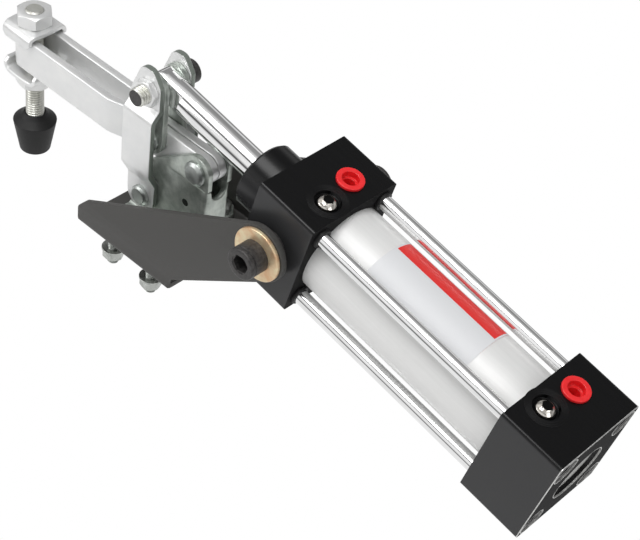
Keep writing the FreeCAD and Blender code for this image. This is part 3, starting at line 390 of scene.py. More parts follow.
for side in (-1, 1):
    bend = rounded([(side * CHEEK_MID, cheek_top), (side * CHEEK_MID, 1.5 * SHEET),
                    (side * FOOT_SIDE, 1.5 * SHEET)], 2.5, False)
    path = side_path(stations(bend, 0.6))
    front, rear = limits(cheek, np.clip(path[:, 2], 0.01, cheek_top - 0.001))
    foot = np.abs(path[:, 1]) > CHEEK_MID + 0.1
    clip = np.clip(FOOT_CORNER - (FOOT_SIDE - np.abs(path[:, 1])), 0, None)
    front = np.where(foot, FOOT_FRONT + clip, front)
    rear = np.where(foot, FOOT_REAR - clip, rear)
    shapes.append(ribbon(path, ALONG, front, rear, SHEET, 0.35))
SCOOP_R = 4.1
web = rounded([(CHEEK_REAR - 3.05, -CHEEK_MID), (CHEEK_REAR - SHEET / 2, -CHEEK_MID),
               (CHEEK_REAR - SHEET / 2, CHEEK_MID), (CHEEK_REAR - 3.05, CHEEK_MID)], 1.6, False)
web = stations(web, 0.3, 0.5)
drop = np.sqrt(np.clip(SCOOP_R ** 2 - web[:, 1] ** 2, 0, None))
scoop = np.where(np.abs(web[:, 1]) < SCOOP_R, SCOOP_LOW + SCOOP_R - drop, WEB_TOP)
shapes.append(ribbon(np.column_stack([web, np.zeros(len(web))]), UP, SHEET, scoop, SHEET, 0.9))
skin("clamp_base", shapes, green_zinc, "clamp_base")

# Locating hole drilled through each cheek.  The pin has rubbed its mouth bright; inside it, a dark
# disc is painted shade, standing in for the shadow in the hole.
hole_shade, tree, shader = principled("painted_hole_shade", Roughness=0.5, Specular_IOR_Level=0.1)
mottle(tree, shader, "#121412", "#222522", 0.6)
HOLE = np.array([15.5, 0, 25.1])
HOLE_R = 1.8
CHEEK_OUT = CHEEK_MID + SHEET / 2


def turned(rows, sides=96):
    """Surface turned about +Z: a row is a radius, or one per angle, at a height; rows close on themselves."""
    angle = np.linspace(0, 2 * np.pi, sides + 1)
    radius = np.stack([np.broadcast_to(np.asarray(row[0], float), angle.shape) for row in rows])
    height = np.stack([np.broadcast_to(np.asarray(row[1], float), angle.shape) for row in rows])
    return np.stack([radius * np.cos(angle), radius * np.sin(angle), height], -1)


def aimed(grid, place, axis=UP, spin=0.0):
    """Grid built about +Z, turned by spin degrees, tipped to an axis and moved to its place."""
    axis = np.asarray(axis, float) / np.linalg.norm(axis)
    side = np.cross(ACROSS if abs(axis[1]) < 0.9 else UP, axis)
    side /= np.linalg.norm(side)
    other = np.cross(axis, side)
    c, s = math.cos(math.radians(spin)), math.sin(math.radians(spin))
    return np.asarray(place) + grid @ np.stack([c * side + s * other, c * other - s * side, axis])


RIM_IN = HOLE_R - 0.1
RIM_OUT = HOLE_R + 0.25
shade_disc = turned([(0, CHEEK_OUT - 0.2), (HOLE_R, CHEEK_OUT - 0.2), (HOLE_R, CHEEK_OUT + 0.02),
              (0, CHEEK_OUT + 0.02)], 48)
rim = turned([(RIM_IN, CHEEK_OUT - 0.1), (RIM_IN, CHEEK_OUT + 0.04), (RIM_OUT, CHEEK_OUT + 0.01),
              (RIM_OUT, CHEEK_OUT - 0.1), (RIM_IN, CHEEK_OUT - 0.1)], 48)
# The dark discs are painted shade filling the holes.
skin("cheek_hole_shades", [aimed(shade_disc, HOLE, side * ACROSS) for side in (-1, 1)], hole_shade, on="clamp_base")
skin("cheek_hole_rims", [aimed(rim, HOLE, side * ACROSS) for side in (-1, 1)], green_zinc, on="clamp_base")


# Link plates: 2.5 mm strip pressed outwards between its flat ends, so that it clears the rivet
# heads as it swings; bright zinc, smooth and nearly white.
ZINC_LOOK = {"rough": (0.32, 0.4), "bump": 0.002, "low": 0.2, "high": 0.8}
bright_zinc, tree, shader = principled("bright_zinc_plate", Metallic=0.62)
mottle(tree, shader, "#dcdddd", "#e9e9e8", 9.0, **ZINC_LOOK)


def facing_along(tree, axis, start, full, low=0.0, high=1.0):
    """Socket from low to high as the size of the normal's share along an axis goes from start to full."""
    where = add(tree, "ShaderNodeTexCoord")
    share = add(tree, "ShaderNodeVectorMath", {"operation": "DOT_PRODUCT"},
                {0: where.outputs["Normal"], 1: axis.tolist()})
    size = add(tree, "ShaderNodeMath", {"operation": "ABSOLUTE"}, {0: share.outputs["Value"]})
    span = add(tree, "ShaderNodeMapRange", inputs={"Value": size.outputs[0], "From Min": start,
                                                   "From Max": full, "To Min": low, "To Max": high})
    return span.outputs[0]


# Sheared edges keep a thinner, darker coat than the rolled faces, whose normals lie along Y.
sheared_zinc, tree, shader = principled("zinc_plate_sheared_edges", Metallic=0.62)
rolled = mottle(tree, shader, "#dcdddd", "#e9e9e8", 9.0, **ZINC_LOOK)
edges = add(tree, "ShaderNodeMix", {"data_type": "RGBA"},
            {"Factor": facing_along(tree, ACROSS, 0.3, 0.7), FIRST: linear("#868d86"),
             SECOND: rolled.outputs[2]})
tree.links.new(edges.outputs[2], shader.inputs["Base Color"])
low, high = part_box("link_plate_far")
LINK_FRONT, LINK_FOOT = low.x / MM, low.z / MM
LINK_REAR, LINK_TOP = high.x / MM, high.z / MM
FLAT_MID = low.y / MM + SHEET / 2
BULGE_MID = high.y / MM - SHEET / 2
BULGE_LOW = (23.9, 31.1)
BULGE_HIGH = (57.3, 61.5)
strip = rounded([(LINK_PIVOT[0] - 8.4, LINK_FOOT), (LINK_FRONT, BULGE_LOW[1]),
                 (LINK_FRONT, BULGE_HIGH[0] + 8.5), (LINK_FRONT + 5.4, LINK_TOP), (LINK_REAR - 4.4, LINK_TOP),
                 (LINK_REAR, LINK_TOP - 6.2), (LINK_REAR, BULGE_LOW[1]), (LINK_PIVOT[0] + 6.6, LINK_FOOT)],
                [6.5, 8, 4, 4.5, 3, 3, 12, 6.5])
for side, node in ((-1, "link_plate_near"), (1, "link_plate_far")):
    press = [(side * FLAT_MID, LINK_FOOT), (side * FLAT_MID, BULGE_LOW[0]), (side * BULGE_MID, BULGE_LOW[1]),
             (side * BULGE_MID, BULGE_HIGH[0]), (side * FLAT_MID, BULGE_HIGH[1]), (side * FLAT_MID, LINK_TOP)]
    path = side_path(stations(rounded(press, 2.6, False), 0.5))
    front, rear = limits(strip, np.clip(path[:, 2], LINK_FOOT + 0.001, LINK_TOP - 0.001))
    skin(node, [ribbon(path, ALONG, front, rear, SHEET, 0.35)], sheared_zinc, node)


# Coupler plates: flat 2.5 mm bars with round ends, between the knuckle and the arm's toggle
# rivet, with the same green-grey passivation as the base.
TOGGLE_R, KNUCKLE_R = 6.6, 6.2
low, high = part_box("coupler_rivets")
TOGGLE = np.array([(low.x + high.x) / 2, 0, (low.z + high.z) / 2]) / MM
reach = np.linalg.norm(KNUCKLE - TOGGLE)
lean = (KNUCKLE - TOGGLE) / reach
square = np.cross(ACROSS, lean)
for side, node in ((-1, "coupler_plate_near"), (1, "coupler_plate_far")):
    ends = np.stack([TOGGLE - TOGGLE_R * lean, KNUCKLE + KNUCKLE_R * lean]) + side * CHEEK_MID * ACROSS
    path = stations(ends, 0.8)
    at = (path - TOGGLE) @ lean
    radius = np.where(at < reach / 2, TOGGLE_R, KNUCKLE_R)
    beyond = np.maximum(-at, at - reach)
    half = np.where(beyond > 0, np.sqrt(np.clip(radius ** 2 - beyond ** 2, 0.0004, None)),
                    TOGGLE_R + (KNUCKLE_R - TOGGLE_R) * np.clip(at / reach, 0, 1))
    skin(node, [ribbon(path, square, -half, half, SHEET, 0.35)], green_zinc, node)


# Arm: one flat bar bent round into a long loop for the spindle; its two ends close up side by
# side and turn on the arm rivet.  Bright zinc.
low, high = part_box("clamp_arm")
ARM_LOW, ARM_TOP = low.z / MM, high.z / MM
ARM_HALF = high.y / MM
BAR = 3.7
NECK_MID = 0.25 + BAR / 2
LOOP_MID = ARM_HALF - BAR / 2
nose = low.x / MM + BAR / 2
tail = high.x / MM
eye_r = tail - ARM_PIVOT[0]
plan = rounded([(tail, -NECK_MID), (-17, -NECK_MID), (-30, -LOOP_MID), (nose, -LOOP_MID), (nose, LOOP_MID),
                (-30, LOOP_MID), (-17, NECK_MID), (tail, NECK_MID)], [0, 9, 9, 6.1, 6.1, 9, 9, 0], False, 10)
path = stations(plan, 0.7)
eye = arc(ARM_PIVOT[[0, 2]], eye_r, -90, 90)
belly = rounded([(low.x / MM - 1, ARM_LOW), (-9, ARM_LOW), eye[0], eye[1]], [0, 20, 0, 0])[:-2]
side_view = np.concatenate([belly, eye, [(low.x / MM - 1, ARM_TOP)]])
bottom, top = limits(side_view[:, ::-1], np.clip(path[:, 0], low.x / MM, tail - 0.001))
level = np.column_stack([path, np.zeros(len(path))])
skin("clamp_arm", [ribbon(level, UP, bottom, top, BAR, 0.6)], bright_zinc, "clamp_arm")


# Saddle washers: 2 mm steel stamped with two lips, corners cut, that keep the spindle upright.
# The top one rides on the arm by its bends; the lower one is turned crossways.  Bright zinc.
SADDLE_T = 2.0
for node, up in (("saddle_washer_top", 1), ("saddle_washer_bottom", -1)):
    low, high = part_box(node)
    middle = (low.x + high.x) / 2 / MM
    outer, half = (high.y, (high.x - low.x) / 2)[::up]
    outer, half = outer / MM, half / MM
    tip, flat = ((low.z / MM, high.z / MM) if up > 0 else (high.z / MM, low.z / MM))
    flat -= up * SADDLE_T / 2
    lip = outer - SADDLE_T / 2
    bend = stations(rounded([(-lip, tip), (-lip, flat), (lip, flat), (lip, tip)], 2.6, False), 0.35, 3.0)
    path = side_path(bend) if up > 0 else np.column_stack([bend[:, 0], np.zeros(len(bend)), bend[:, 1]])
    run = np.concatenate([[0], np.cumsum(np.linalg.norm(np.diff(path, axis=0), axis=1))])
    from_end = np.minimum(run, run[-1] - run)
    reach = np.minimum(half - 2.5 + from_end, half - 0.8 * (np.abs(bend[:, 0]) / lip) ** 2)
    along = ALONG if up > 0 else ACROSS
    skin(node, [ribbon(path + middle * ALONG, along, -reach, reach, SADDLE_T, 0.5)], bright_zinc, node)


# Spindle: M8 stud cut from threaded rod, pale zinc.  It is clamped in the arm's slot between
# two nuts, and its end is moulded into the rubber tip.  The thread's roots are painted darker as
# shade, except on faces that turn upward.
pale_zinc, tree, shader = principled("pale_zinc_thread", Roughness=0.3, Metallic=0.85)
crest = mottle(tree, shader, "#d8d8d0", "#e4e4de", 4.0)
low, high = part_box("spindle")
SPINDLE = np.array([(low.x + high.x) / 2 / MM, 0, 0])
# Painted shade: the colour darkens towards the thread's roots, and faces that turn upward are kept light.
where = add(tree, "ShaderNodeTexCoord")
from_axis = add(tree, "ShaderNodeVectorMath", {"operation": "MULTIPLY_ADD"},
                {0: where.outputs["Object"], 1: (1000, 1000, 0), 2: (-SPINDLE[0], 0, 0)})
depth = add(tree, "ShaderNodeVectorMath", {"operation": "LENGTH"}, {0: from_axis.outputs[0]})
root = add(tree, "ShaderNodeMapRange", inputs={"Value": depth.outputs["Value"], "From Min": 3.3,
                                               "From Max": 3.75})
upward = add(tree, "ShaderNodeSeparateXYZ", inputs={0: where.outputs["Normal"]})
unshaded = add(tree, "ShaderNodeMath", {"operation": "MAXIMUM"}, {0: root.outputs[0], 1: upward.outputs[2]})
root_shade = add(tree, "ShaderNodeMix", {"data_type": "RGBA"},
           {"Factor": unshaded.outputs[0], FIRST: linear("#6c6c66"), SECOND: crest.outputs[2]})
tree.links.new(root_shade.outputs[2], shader.inputs["Base Color"])


def soft_turned(corners, radii, sides=96):
    """Turned surface from a profile of (radius, height) corners, each rounded."""
    return turned([tuple(point) for point in rounded(corners, radii, False, 5)], sides)


def threaded(radius, pitch, low, high, cut=0.6, sides=48):
    """Rows of a screw thread: the radius falls by a rounded V that climbs a pitch a turn; both ends taper."""
    angle = np.linspace(0, 2 * np.pi, sides + 1)
    rows = [(0.0, low)]
    for height in np.arange(low, high + 1e-6, pitch / 8):
        phase = (height / pitch - angle / (2 * np.pi)) % 1.0
        groove = cut * pitch * (0.5 + 0.5 * np.cos(2 * np.pi * phase)) ** 1.3
        taper = radius - cut * pitch + min(height - low, high - height)
        rows.append((np.minimum(radius - groove, taper), height))
    return rows + [(0.0, high)]


skin("spindle", [aimed(turned(threaded(high.y / MM, 1.25, low.z / MM, high.z / MM), 48), SPINDLE)], pale_zinc,
     "spindle")


# Nuts: cold-formed steel hexagons, zinc-plated, whose corners are turned off by a 30 degree cone at
# both faces.  Two of them clamp the spindle in the arm's slot, and a thin one locks the knuckle bolt.
def nut_rows(flats, height, bore, sides=96):
    """Hexagon: flats / 2 over the cosine of the angle from the nearest flat, cut by a cone at each face."""
    angle = np.linspace(0, 2 * np.pi, sides + 1)
    hexagon = flats / 2 / np.cos(angle % (np.pi / 3) - np.pi / 6)
    face = flats / 2 * 0.97
    corner = flats / math.sqrt(3)
    depth = (corner - face) * 0.6
    rise = np.concatenate([depth * np.linspace(0, 1, 9), height - depth * np.linspace(1, 0, 9)])
    rows = [(bore, 0.5), (bore + 0.5, 0.0), (face, 0.0)]
    rows += [(np.minimum(hexagon, face + np.minimum(z, height - z) / 0.6), z) for z in rise]
    return rows + [(face, height), (bore + 0.5, height), (bore, height - 0.5), (bore, 0.5)]


NUT_BORE = 3.6
NUT_FLATS = 14.0
THIN_NUT_FLATS = 10.5
for node, spin in (("spindle_nut_top", 24), ("spindle_nut_bottom", 50)):
    low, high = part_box(node)
    rows = nut_rows(NUT_FLATS, (high.z - low.z) / MM, NUT_BORE)
    skin(node, [aimed(turned(rows), SPINDLE + low.z / MM * UP, UP, spin)], bright_zinc, node)
low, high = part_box("knuckle_nut")
rows = nut_rows(THIN_NUT_FLATS, (high.y - low.y) / MM, NUT_BORE)
skin("knuckle_nut", [aimed(turned(rows), KNUCKLE + high.y / MM * ACROSS, -ACROSS, 12)], bright_zinc,
     "knuckle_nut")


# Rubber tip: tapered foot moulded in black rubber on the spindle's end, its top sweeping up from
# a sharp rim to the spindle, with a slight hollow below.  Dead black, with the dull bloom of a mould.
black_rubber, tree, shader = principled("moulded_black_rubber", Specular_IOR_Level=0.35)
mottle(tree, shader, "#0e0e0e", "#171717", 0.7, rough=(0.48, 0.62), bump=0.01)
low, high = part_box("rubber_tip")
top, bottom = high.z / MM, low.z / MM
rim_r, foot_r = high.y / MM, 6.7
rim = top - 4.3
foot = [(0, bottom + 0.4), (foot_r - 2.4, bottom + 0.4), (foot_r - 1.6, bottom), (foot_r, bottom),
        (rim_r, rim), (rim_r - 0.7, rim + 0.5), (6.2, rim + 2.4), (4.5, top), (3.9, top - 1), (0, top - 1)]
skin("rubber_tip", [aimed(soft_turned(foot, [0, 0.2, 0.2, 0.8, 0.4, 0.4, 3.0, 0.2, 0, 0]), SPINDLE)],
     black_rubber, "rubber_tip")


# Rivets: steel pins that join the plates and that the arm and the link turn on.  They are headed
# over cold, so each head has a flat struck face and a bright rounded rim.
rivet_steel, tree, shader = principled("headed_rivet_steel", Metallic=0.9)
mottle(tree, shader, "#a3a8a5", "#b9bdba", 4.0, rough=(0.3, 0.38))


def head_rows(radius, seat, face, rim, shank):
    """Profile of a headed end: shank, flat seat, short side, sloping rim and flat face."""
    return [(shank, seat), (radius, seat), (radius, face - rim * 0.75), (radius - rim, face), (0, face)]


# Each rivet's pivot, the slope of its rim, its shank, its seat on the plate, and where each half starts.
RIVETS = (("link_rivet", LINK_PIVOT, 1.0, 3.0, 9.35, 0.0), ("arm_rivet", ARM_PIVOT, 1.4, 3.5, 6.62, 0.0),
          ("coupler_rivets", TOGGLE, 1.0, 3.0, 6.62, 4.1))
for node, pivot, rim, shank, seat, start in RIVETS:
    low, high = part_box(node)
    radius = (high.x - low.x) / 2 / MM
    rows = [(0, start), (shank, start)] + head_rows(radius, seat, high.y / MM, rim, shank)
    grid = soft_turned(rows, [0, 0, 0, 0.2, 0.5, 0.5, 0])
    skin(node, [aimed(grid, pivot, side * ACROSS) for side in (-1, 1)], rivet_steel, node)


# Knuckle bolt: black shoulder screw put in from the far side; its bright threaded end stands
# out of the thin nut, with the dark cut end of the bar showing.  Black oxide is brown-black and a
# little oily, so it shines softly.
black_oxide, tree, shader = principled("black_oxide_steel", Metallic=0.5)
mottle(tree, shader, "#343232", "#4a4847", 1.2, rough=(0.36, 0.5), bump=0.01)
low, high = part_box("knuckle_bolt")
end = -low.y / MM
flush = -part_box("knuckle_nut")[0].y / MM
BOLT_R = 4.0
BOLT_SEAT = 9.3
thread = threaded(BOLT_R, 1.25, flush - 1.2, end, 0.6, 96)[1:]
stub = [(0, -BOLT_SEAT), (BOLT_R, -BOLT_SEAT), (BOLT_R, BOLT_SEAT)] + thread
skin("knuckle_bolt", [aimed(turned(stub), KNUCKLE, -ACROSS)], pale_zinc, "knuckle_bolt")


def socket_screw(radius, seat, end, flats, depth, sides=96):
    """Screw head: round side with a rounded rim, and a hexagon socket sunk into its end."""
    angle = np.linspace(0, 2 * np.pi, sides + 1)
    hexagon = flats / 2 / np.cos(angle % (np.pi / 3) - np.pi / 6)
    rim = rounded([(radius, seat), (radius, end), (flats * 0.6, end)], 0.7, False, 5)
    rows = [(0, seat)] + [tuple(point) for point in rim]
    return rows + [(flats * 0.62, end - 0.15), (hexagon, end - 0.45), (hexagon, end - depth),
                   (0, end - depth - 0.8)]


cap = socket_screw(5.0, BOLT_SEAT, high.y / MM, 4.0, 2.4)
skin("knuckle_bolt_head", [aimed(turned(cap), KNUCKLE, ACROSS)], black_oxide, "knuckle_bolt")
dot = [(0, end - 0.2), (3.35, end - 0.2), (3.35, end + 0.06), (0, end + 0.06)]
skin("knuckle_bolt_end", [aimed(turned(dot, 48), KNUCKLE, -ACROSS)], black_oxide, "knuckle_bolt")


# Base bolts: M5 hexagon bolts through the feet and the floor, with loose washers and nuts below,
# left a plate's thickness down.  Zinc, dulled by handling.
dull_zinc, tree, shader = principled("dull_zinc_fastener", Metallic=0.9)
mottle(tree, shader, "#a2a5a1", "#bfc2be", 3.0, rough=(0.26, 0.36))
low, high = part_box("base_bolts")
BOLT_X, BOLT_Y = 11.5, 19.0
bolt_low, bolt_top = low.z / MM, high.z / MM
M5_FLATS = 8.0
bolt = [turned(nut_rows(M5_FLATS, 3.5, 0.6), 96) + (bolt_top - 3.5) * UP,
        turned([(0, bolt_top - 0.6), (2.0, bolt_top - 0.35), (2.6, bolt_top - 0.5), (2.6, bolt_top - 1.5),
                (0, bolt_top - 1.5)], 48),
        turned(threaded(2.5, 0.8, bolt_low, bolt_top - 3.2), 48)]
nut_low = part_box("base_nuts")[0].z / MM
washer_low, washer_top = (corner.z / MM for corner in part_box("base_washers"))
bolt_places = [x * ALONG + y * ACROSS for x in (-BOLT_X, BOLT_X) for y in (-BOLT_Y, BOLT_Y)]
skin("base_bolts", [shape + place for place in bolt_places for shape in bolt], dull_zinc, "base_bolts")
skin("base_nuts", [aimed(turned(nut_rows(M5_FLATS, 4.0, 2.2)), place + nut_low * UP, UP, 25 * i)
                   for i, place in enumerate(bolt_places)], dull_zinc, "base_nuts")


def washer(bore, radius, low, high, edge):
    """Flat ring with rounded rims, closed round its bore."""
    corners = [(bore, low), (radius, low), (radius, high), (bore, high), (bore, low)]
    return soft_turned(corners, [0, edge, edge, 0, 0])


skin("base_washers", [washer(2.7, 5.0, washer_low, washer_top, 0.2) + place for place in bolt_places],
     dull_zinc, "base_washers")


# Trunnions: yellow-zinc washer and black socket screw on each side plate.  The cylinder swings
# on them, and their spacers keep it clear of the plates.  The chromate is pale gold, pink in patches.
yellow_zinc, tree, shader = principled("yellow_zinc_washer", Metallic=0.7)
mottle(tree, shader, "#d3ab84", "#e2d3b0", 5.0, rough=(0.34, 0.46), bump=0.004)
low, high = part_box("trunnion_screws")
TRUNNION = np.array([(low.x + high.x) / 2, 0, (low.z + high.z) / 2]) / MM
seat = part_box("trunnion_washers")[1].y / MM
ring = washer(4.2, 11.0, BRACKET_HALF, seat, 0.45)
skin("trunnion_washers", [aimed(ring, TRUNNION, side * ACROSS) for side in (-1, 1)], yellow_zinc,
     "trunnion_washers")
SHANK_END = 25.8
head = socket_screw(high.x / MM - TRUNNION[0], seat, high.y / MM, 6.6, 4.5)
groove = [(6.5, 35.6), (6.1, 35.9), (6.5, 36.2)]
screw = [(0, SHANK_END), (4.0, SHANK_END), (4.0, seat), head[1]] + groove + head[2:]
skin("trunnion_screws", [aimed(turned(screw), TRUNNION, side * ACROSS, 10) for side in (-1, 1)], black_oxide,
     "trunnion_screws")
dress(black_oxide, "trunnion_studs", "trunnion_spacers")


# Cylinder heads: cut from drawn aluminium bar and black-anodised, so their sides are smooth and
# glossy with faint draw lines and their sawn ends are matt.  A bright line painted along the end
# edges stands in for their highlight.
AXIS = -np.array(next(joint["axis"] for joint in frame["joints"] if joint["name"] == "cylinder_stroke"))
RISE = np.cross(AXIS, ACROSS)
TILT = math.atan2(-AXIS[2], AXIS[0])
ROD_REACH = 69.75
HEAD_FACE = KNUCKLE + ROD_REACH * AXIS
HALF = 22.5
HEAD_LEN = 27.5
CYL_LEN = 147.0


def on_cylinder(grid, at=(0.0, 0.0, 0.0)):
    """Grid set at a point of the cylinder's own frame: X along it from the front head's face, Z up."""
    return HEAD_FACE + (grid + np.asarray(at)) @ np.stack([AXIS, ACROSS, RISE])


def lengthwise(rows, sides=96):
    """Surface turned about the cylinder's X: a row is a radius, or one per angle, at a length."""
    return turned(rows, sides)[..., [2, 0, 1]]


# Glossy and deep black on top, where the bar was milled; the flanks, left as drawn, are painted
# lighter grey for the light they catch; matt on the sawn ends.
black_head, tree, shader = principled("black_anodised_aluminium", Specular_IOR_Level=0.25)
milled = mottle(tree, shader, "#040405", "#080809", 0.8, 20, TILT, bump=0.002)
# Painted light: the flanks facing Y take a lighter grey than the top.
flank_light = add(tree, "ShaderNodeMix", {"data_type": "RGBA"},
             {"Factor": facing_along(tree, ACROSS, 0.8, 0.98), FIRST: milled.outputs[2],
              SECOND: linear("#303031")})
tree.links.new(flank_light.outputs[2], shader.inputs["Base Color"])
tree.links.new(facing_along(tree, AXIS, 0.6, 0.9, 0.27, 0.8), shader.inputs["Roughness"])
dress(black_head, "front_head", "rear_cap")

# A thin bright line along the edges is a painted highlight.
edge_highlight, tree, shader = principled("painted_edge_highlight", Metallic=0.8)
mottle(tree, shader, "#b4b4b2", "#dadad8", 0.8, rough=(0.3, 0.45))
square = rounded([(-HALF, -HALF), (HALF, -HALF), (HALF, HALF), (-HALF, HALF)], 1.5)
square = np.concatenate([square, square[:1]])
EDGE_LINE = 0.3


def edge_ring(at):
    """Painted highlight round a head's end: the outline carried along X as a strip that stands 0.03 mm proud."""
    section = ((-EDGE_LINE, -0.1), (-EDGE_LINE, 0.03), (0.03, 0.03), (0.03, -EDGE_LINE), (-EDGE_LINE, -0.1))
    return on_cylinder(np.stack([np.column_stack([np.full(len(square), at + step),
                                                  square * (1 + lift / HALF)]) for step, lift in section]))


def mouth_line(inner, outer, sides):
    """Painted highlight round a round mouth: a thin ring from just inside its wall to just outside it."""
    return lengthwise([(inner, -0.5), (inner, 0.1), (outer, 0.1), (outer, 0.02), (inner, -0.5)], sides)


POCKET_R = 5.5
TIE_AT = 16.5
RECESS_R = 12.0
RECESS_DEPTH = 3.0
REAR_FACE = (CYL_LEN, 0, 0)
tie_places = [(y * TIE_AT, z * TIE_AT) for y in (-1, 1) for z in (-1, 1)]
mouth = mouth_line(POCKET_R - 0.05, POCKET_R + EDGE_LINE, 64)
lip = mouth_line(RECESS_R - 0.1, RECESS_R + 0.2, 96)
# Painted highlight lines round the rear cap's end, its recess and its four pockets.
skin("rear_cap_edge_highlights", [edge_ring(CYL_LEN), on_cylinder(lip, REAR_FACE)]
     + [on_cylinder(mouth, (CYL_LEN, *at)) for at in tie_places], edge_highlight, on="rear_cap")

# The recess was turned after the bar was anodised, so its shallow dish is pale bare metal.
turned_floor, tree, shader = principled("turned_aluminium_floor", Metallic=0.1)
mottle(tree, shader, "#b6b6b4", "#cececc", 0.8, rough=(0.42, 0.55))
dish = [(r, 0.9 * (r / RECESS_R) ** 2 - RECESS_DEPTH + 0.05) for r in np.linspace(0, RECESS_R - 0.05, 20)]
dish += [(RECESS_R - 0.05, -RECESS_DEPTH), (0, -RECESS_DEPTH)]
skin("rear_cap_recess", [on_cylinder(lengthwise(dish), REAR_FACE)], turned_floor, on="rear_cap")

# The sawn end is a thin plate of matt black with holes for the recess and the four pockets; it
# takes no gloss at all, so the painted highlight lines stand out on it.
matt_black, tree, shader = principled("matt_black_sawn_end", Roughness=0.7, Specular_IOR_Level=0.08)
mottle(tree, shader, "#040404", "#080808", 0.5)
plate = bmesh.new()
inset = square[:-1] * (1 - EDGE_LINE / HALF)
turn_round = np.linspace(0, 2 * np.pi, 65)[:-1]
circle = np.stack([np.cos(turn_round), np.sin(turn_round)], 1)
holes = [circle * (RECESS_R + 0.2)] + [np.array(at) + circle * (POCKET_R + EDGE_LINE) for at in tie_places]
for outline in [inset] + holes:
    ends = on_cylinder(np.column_stack([np.full(len(outline), CYL_LEN + 0.04), outline])) * MM
    made = [plate.verts.new(point) for point in ends]
    for start, stop in zip(made, made[1:] + made[:1]):
        plate.edges.new((start, stop))
bmesh.ops.triangle_fill(plate, use_beauty=True, edges=plate.edges[:], normal=AXIS.tolist())
sheet = bmesh.ops.extrude_face_region(plate, geom=plate.faces[:])["geom"]
raised = [item for item in sheet if isinstance(item, bmesh.types.BMVert)]
bmesh.ops.translate(plate, verts=raised, vec=(AXIS * -0.03 * MM).tolist())
bmesh.ops.recalc_face_normals(plate, faces=plate.faces[:])
mesh = bpy.data.meshes.new("rear_cap_face")
plate.to_mesh(mesh)
plate.free()
mesh.materials.append(matt_black)
piece = bpy.data.objects.new("rear_cap_face", mesh)
bpy.context.scene.collection.objects.link(piece)
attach(piece, HOMES["rear_cap"])


# Barrel: drawn aluminium tube, held between the heads by the four tie rods.  It is clear satin
# anodised, almost white, with faint draw lines.
satin_tube, tree, shader = principled("satin_anodised_tube", Roughness=0.42, Metallic=0.1)
mottle(tree, shader, "#d4d4d3", "#dbdbda", 1.2, 30, TILT, low=0.2, high=0.8)
BARREL_R = 18.8
BORE_R = 16.0
BARREL_FRONT = 23.6
BARREL_REAR = 123.4
outside = [(BARREL_R, x) for x in np.linspace(BARREL_FRONT + 0.4, BARREL_REAR - 0.4, 12)]
tube = [(BORE_R, BARREL_FRONT), (BARREL_R, BARREL_FRONT), *outside, (BARREL_R, BARREL_REAR),
        (BORE_R, BARREL_REAR), (BORE_R, BARREL_FRONT)]
skin("barrel", [on_cylinder(lengthwise(tube, 192))], satin_tube, "barrel")
dress(satin_tube, "piston")


# Label: gloss vinyl film wrapped on the barrel and held by its own glue, cooler than the tube,
# with a plain red band printed along its far edge.
vinyl, tree, shader = principled("gloss_vinyl_label", Roughness=0.45)
run = add(tree, "ShaderNodeUVMap", {"uv_map": "run"})
parts = add(tree, "ShaderNodeSeparateXYZ", inputs={0: run.outputs[0]})
BAND_START = 0.312
BAND_HALF = 0.485
band = add(tree, "ShaderNodeMath", {"operation": "GREATER_THAN"}, {0: parts.outputs[1], 1: BAND_START})
ends = add(tree, "ShaderNodeMath", {"operation": "COMPARE"}, {0: parts.outputs[0], 1: 0.5, 2: BAND_HALF})
red = add(tree, "ShaderNodeMath", {"operation": "MULTIPLY"}, {0: band.outputs[0], 1: ends.outputs[0]})
mix = add(tree, "ShaderNodeMix", {"data_type": "RGBA"},
          {"Factor": red.outputs[0], FIRST: linear("#cfd0d2"), SECOND: linear("#d61d18")})
tree.links.new(mix.outputs[2], shader.inputs["Base Color"])
LABEL_R = 18.95
LABEL_THICK = 0.1
LABEL_ENDS = (47.2, 97.0)
LABEL_ARC = (45, 128)
along = np.linspace(*LABEL_ENDS, 60)
angle = np.radians(np.linspace(*LABEL_ARC, 49))
shell = [np.stack([-r * np.cos(angle), r * np.sin(angle)], 1) for r in (LABEL_R, LABEL_R - LABEL_THICK)]
loop = np.concatenate([shell[0], shell[1][::-1], shell[0][:1]])
sleeve = np.stack([np.column_stack([np.full(len(loop), x), loop]) for x in along])
closing = [np.stack([np.column_stack([np.full(len(angle), x), side]) for side in shell]) for x in LABEL_ENDS]
skin("label", [on_cylinder(grid) for grid in (sleeve, *closing)], vinyl, "label")


# Tie rods and piston rod: ground steel bar with hard chrome, so they mirror the lamps in long clean
# bands.  The piston rod's end is milled to a flat tongue that turns on the knuckle bolt.
chrome, tree, shader = principled("hard_chrome", Metallic=1.0)
mottle(tree, shader, "#e6e6e6", "#f4f4f4", 1.5, 10, TILT, rough=(0.05, 0.1))
TIE_R = 3.0
TIE_FRONT = 13.5
TIE_REAR = 139.0
tie = lengthwise([(0, TIE_FRONT), (TIE_R, TIE_FRONT), (TIE_R, 80.0), (TIE_R, TIE_REAR), (0, TIE_REAR)])
skin("tie_rods", [on_cylinder(tie, (0, *at)) for at in tie_places], chrome, "tie_rods")
ROD_R = 6.0
TONGUE_HALF = CHEEK_MID - SHEET / 2 - 0.1
TONGUE_END_R = 5.7
TONGUE_LEN = 12.25
PISTON_SEAT = 34.0
SPIGOT_R = 4.0
SPIGOT_END = 75.5
tongue_end = -ROD_REACH
round_y = np.linspace(0, 2 * np.pi, 193)
flats = np.minimum(ROD_R, TONGUE_HALF / np.maximum(np.abs(np.cos(round_y)), 1e-6))
rows = [(0, tongue_end - TONGUE_END_R)]
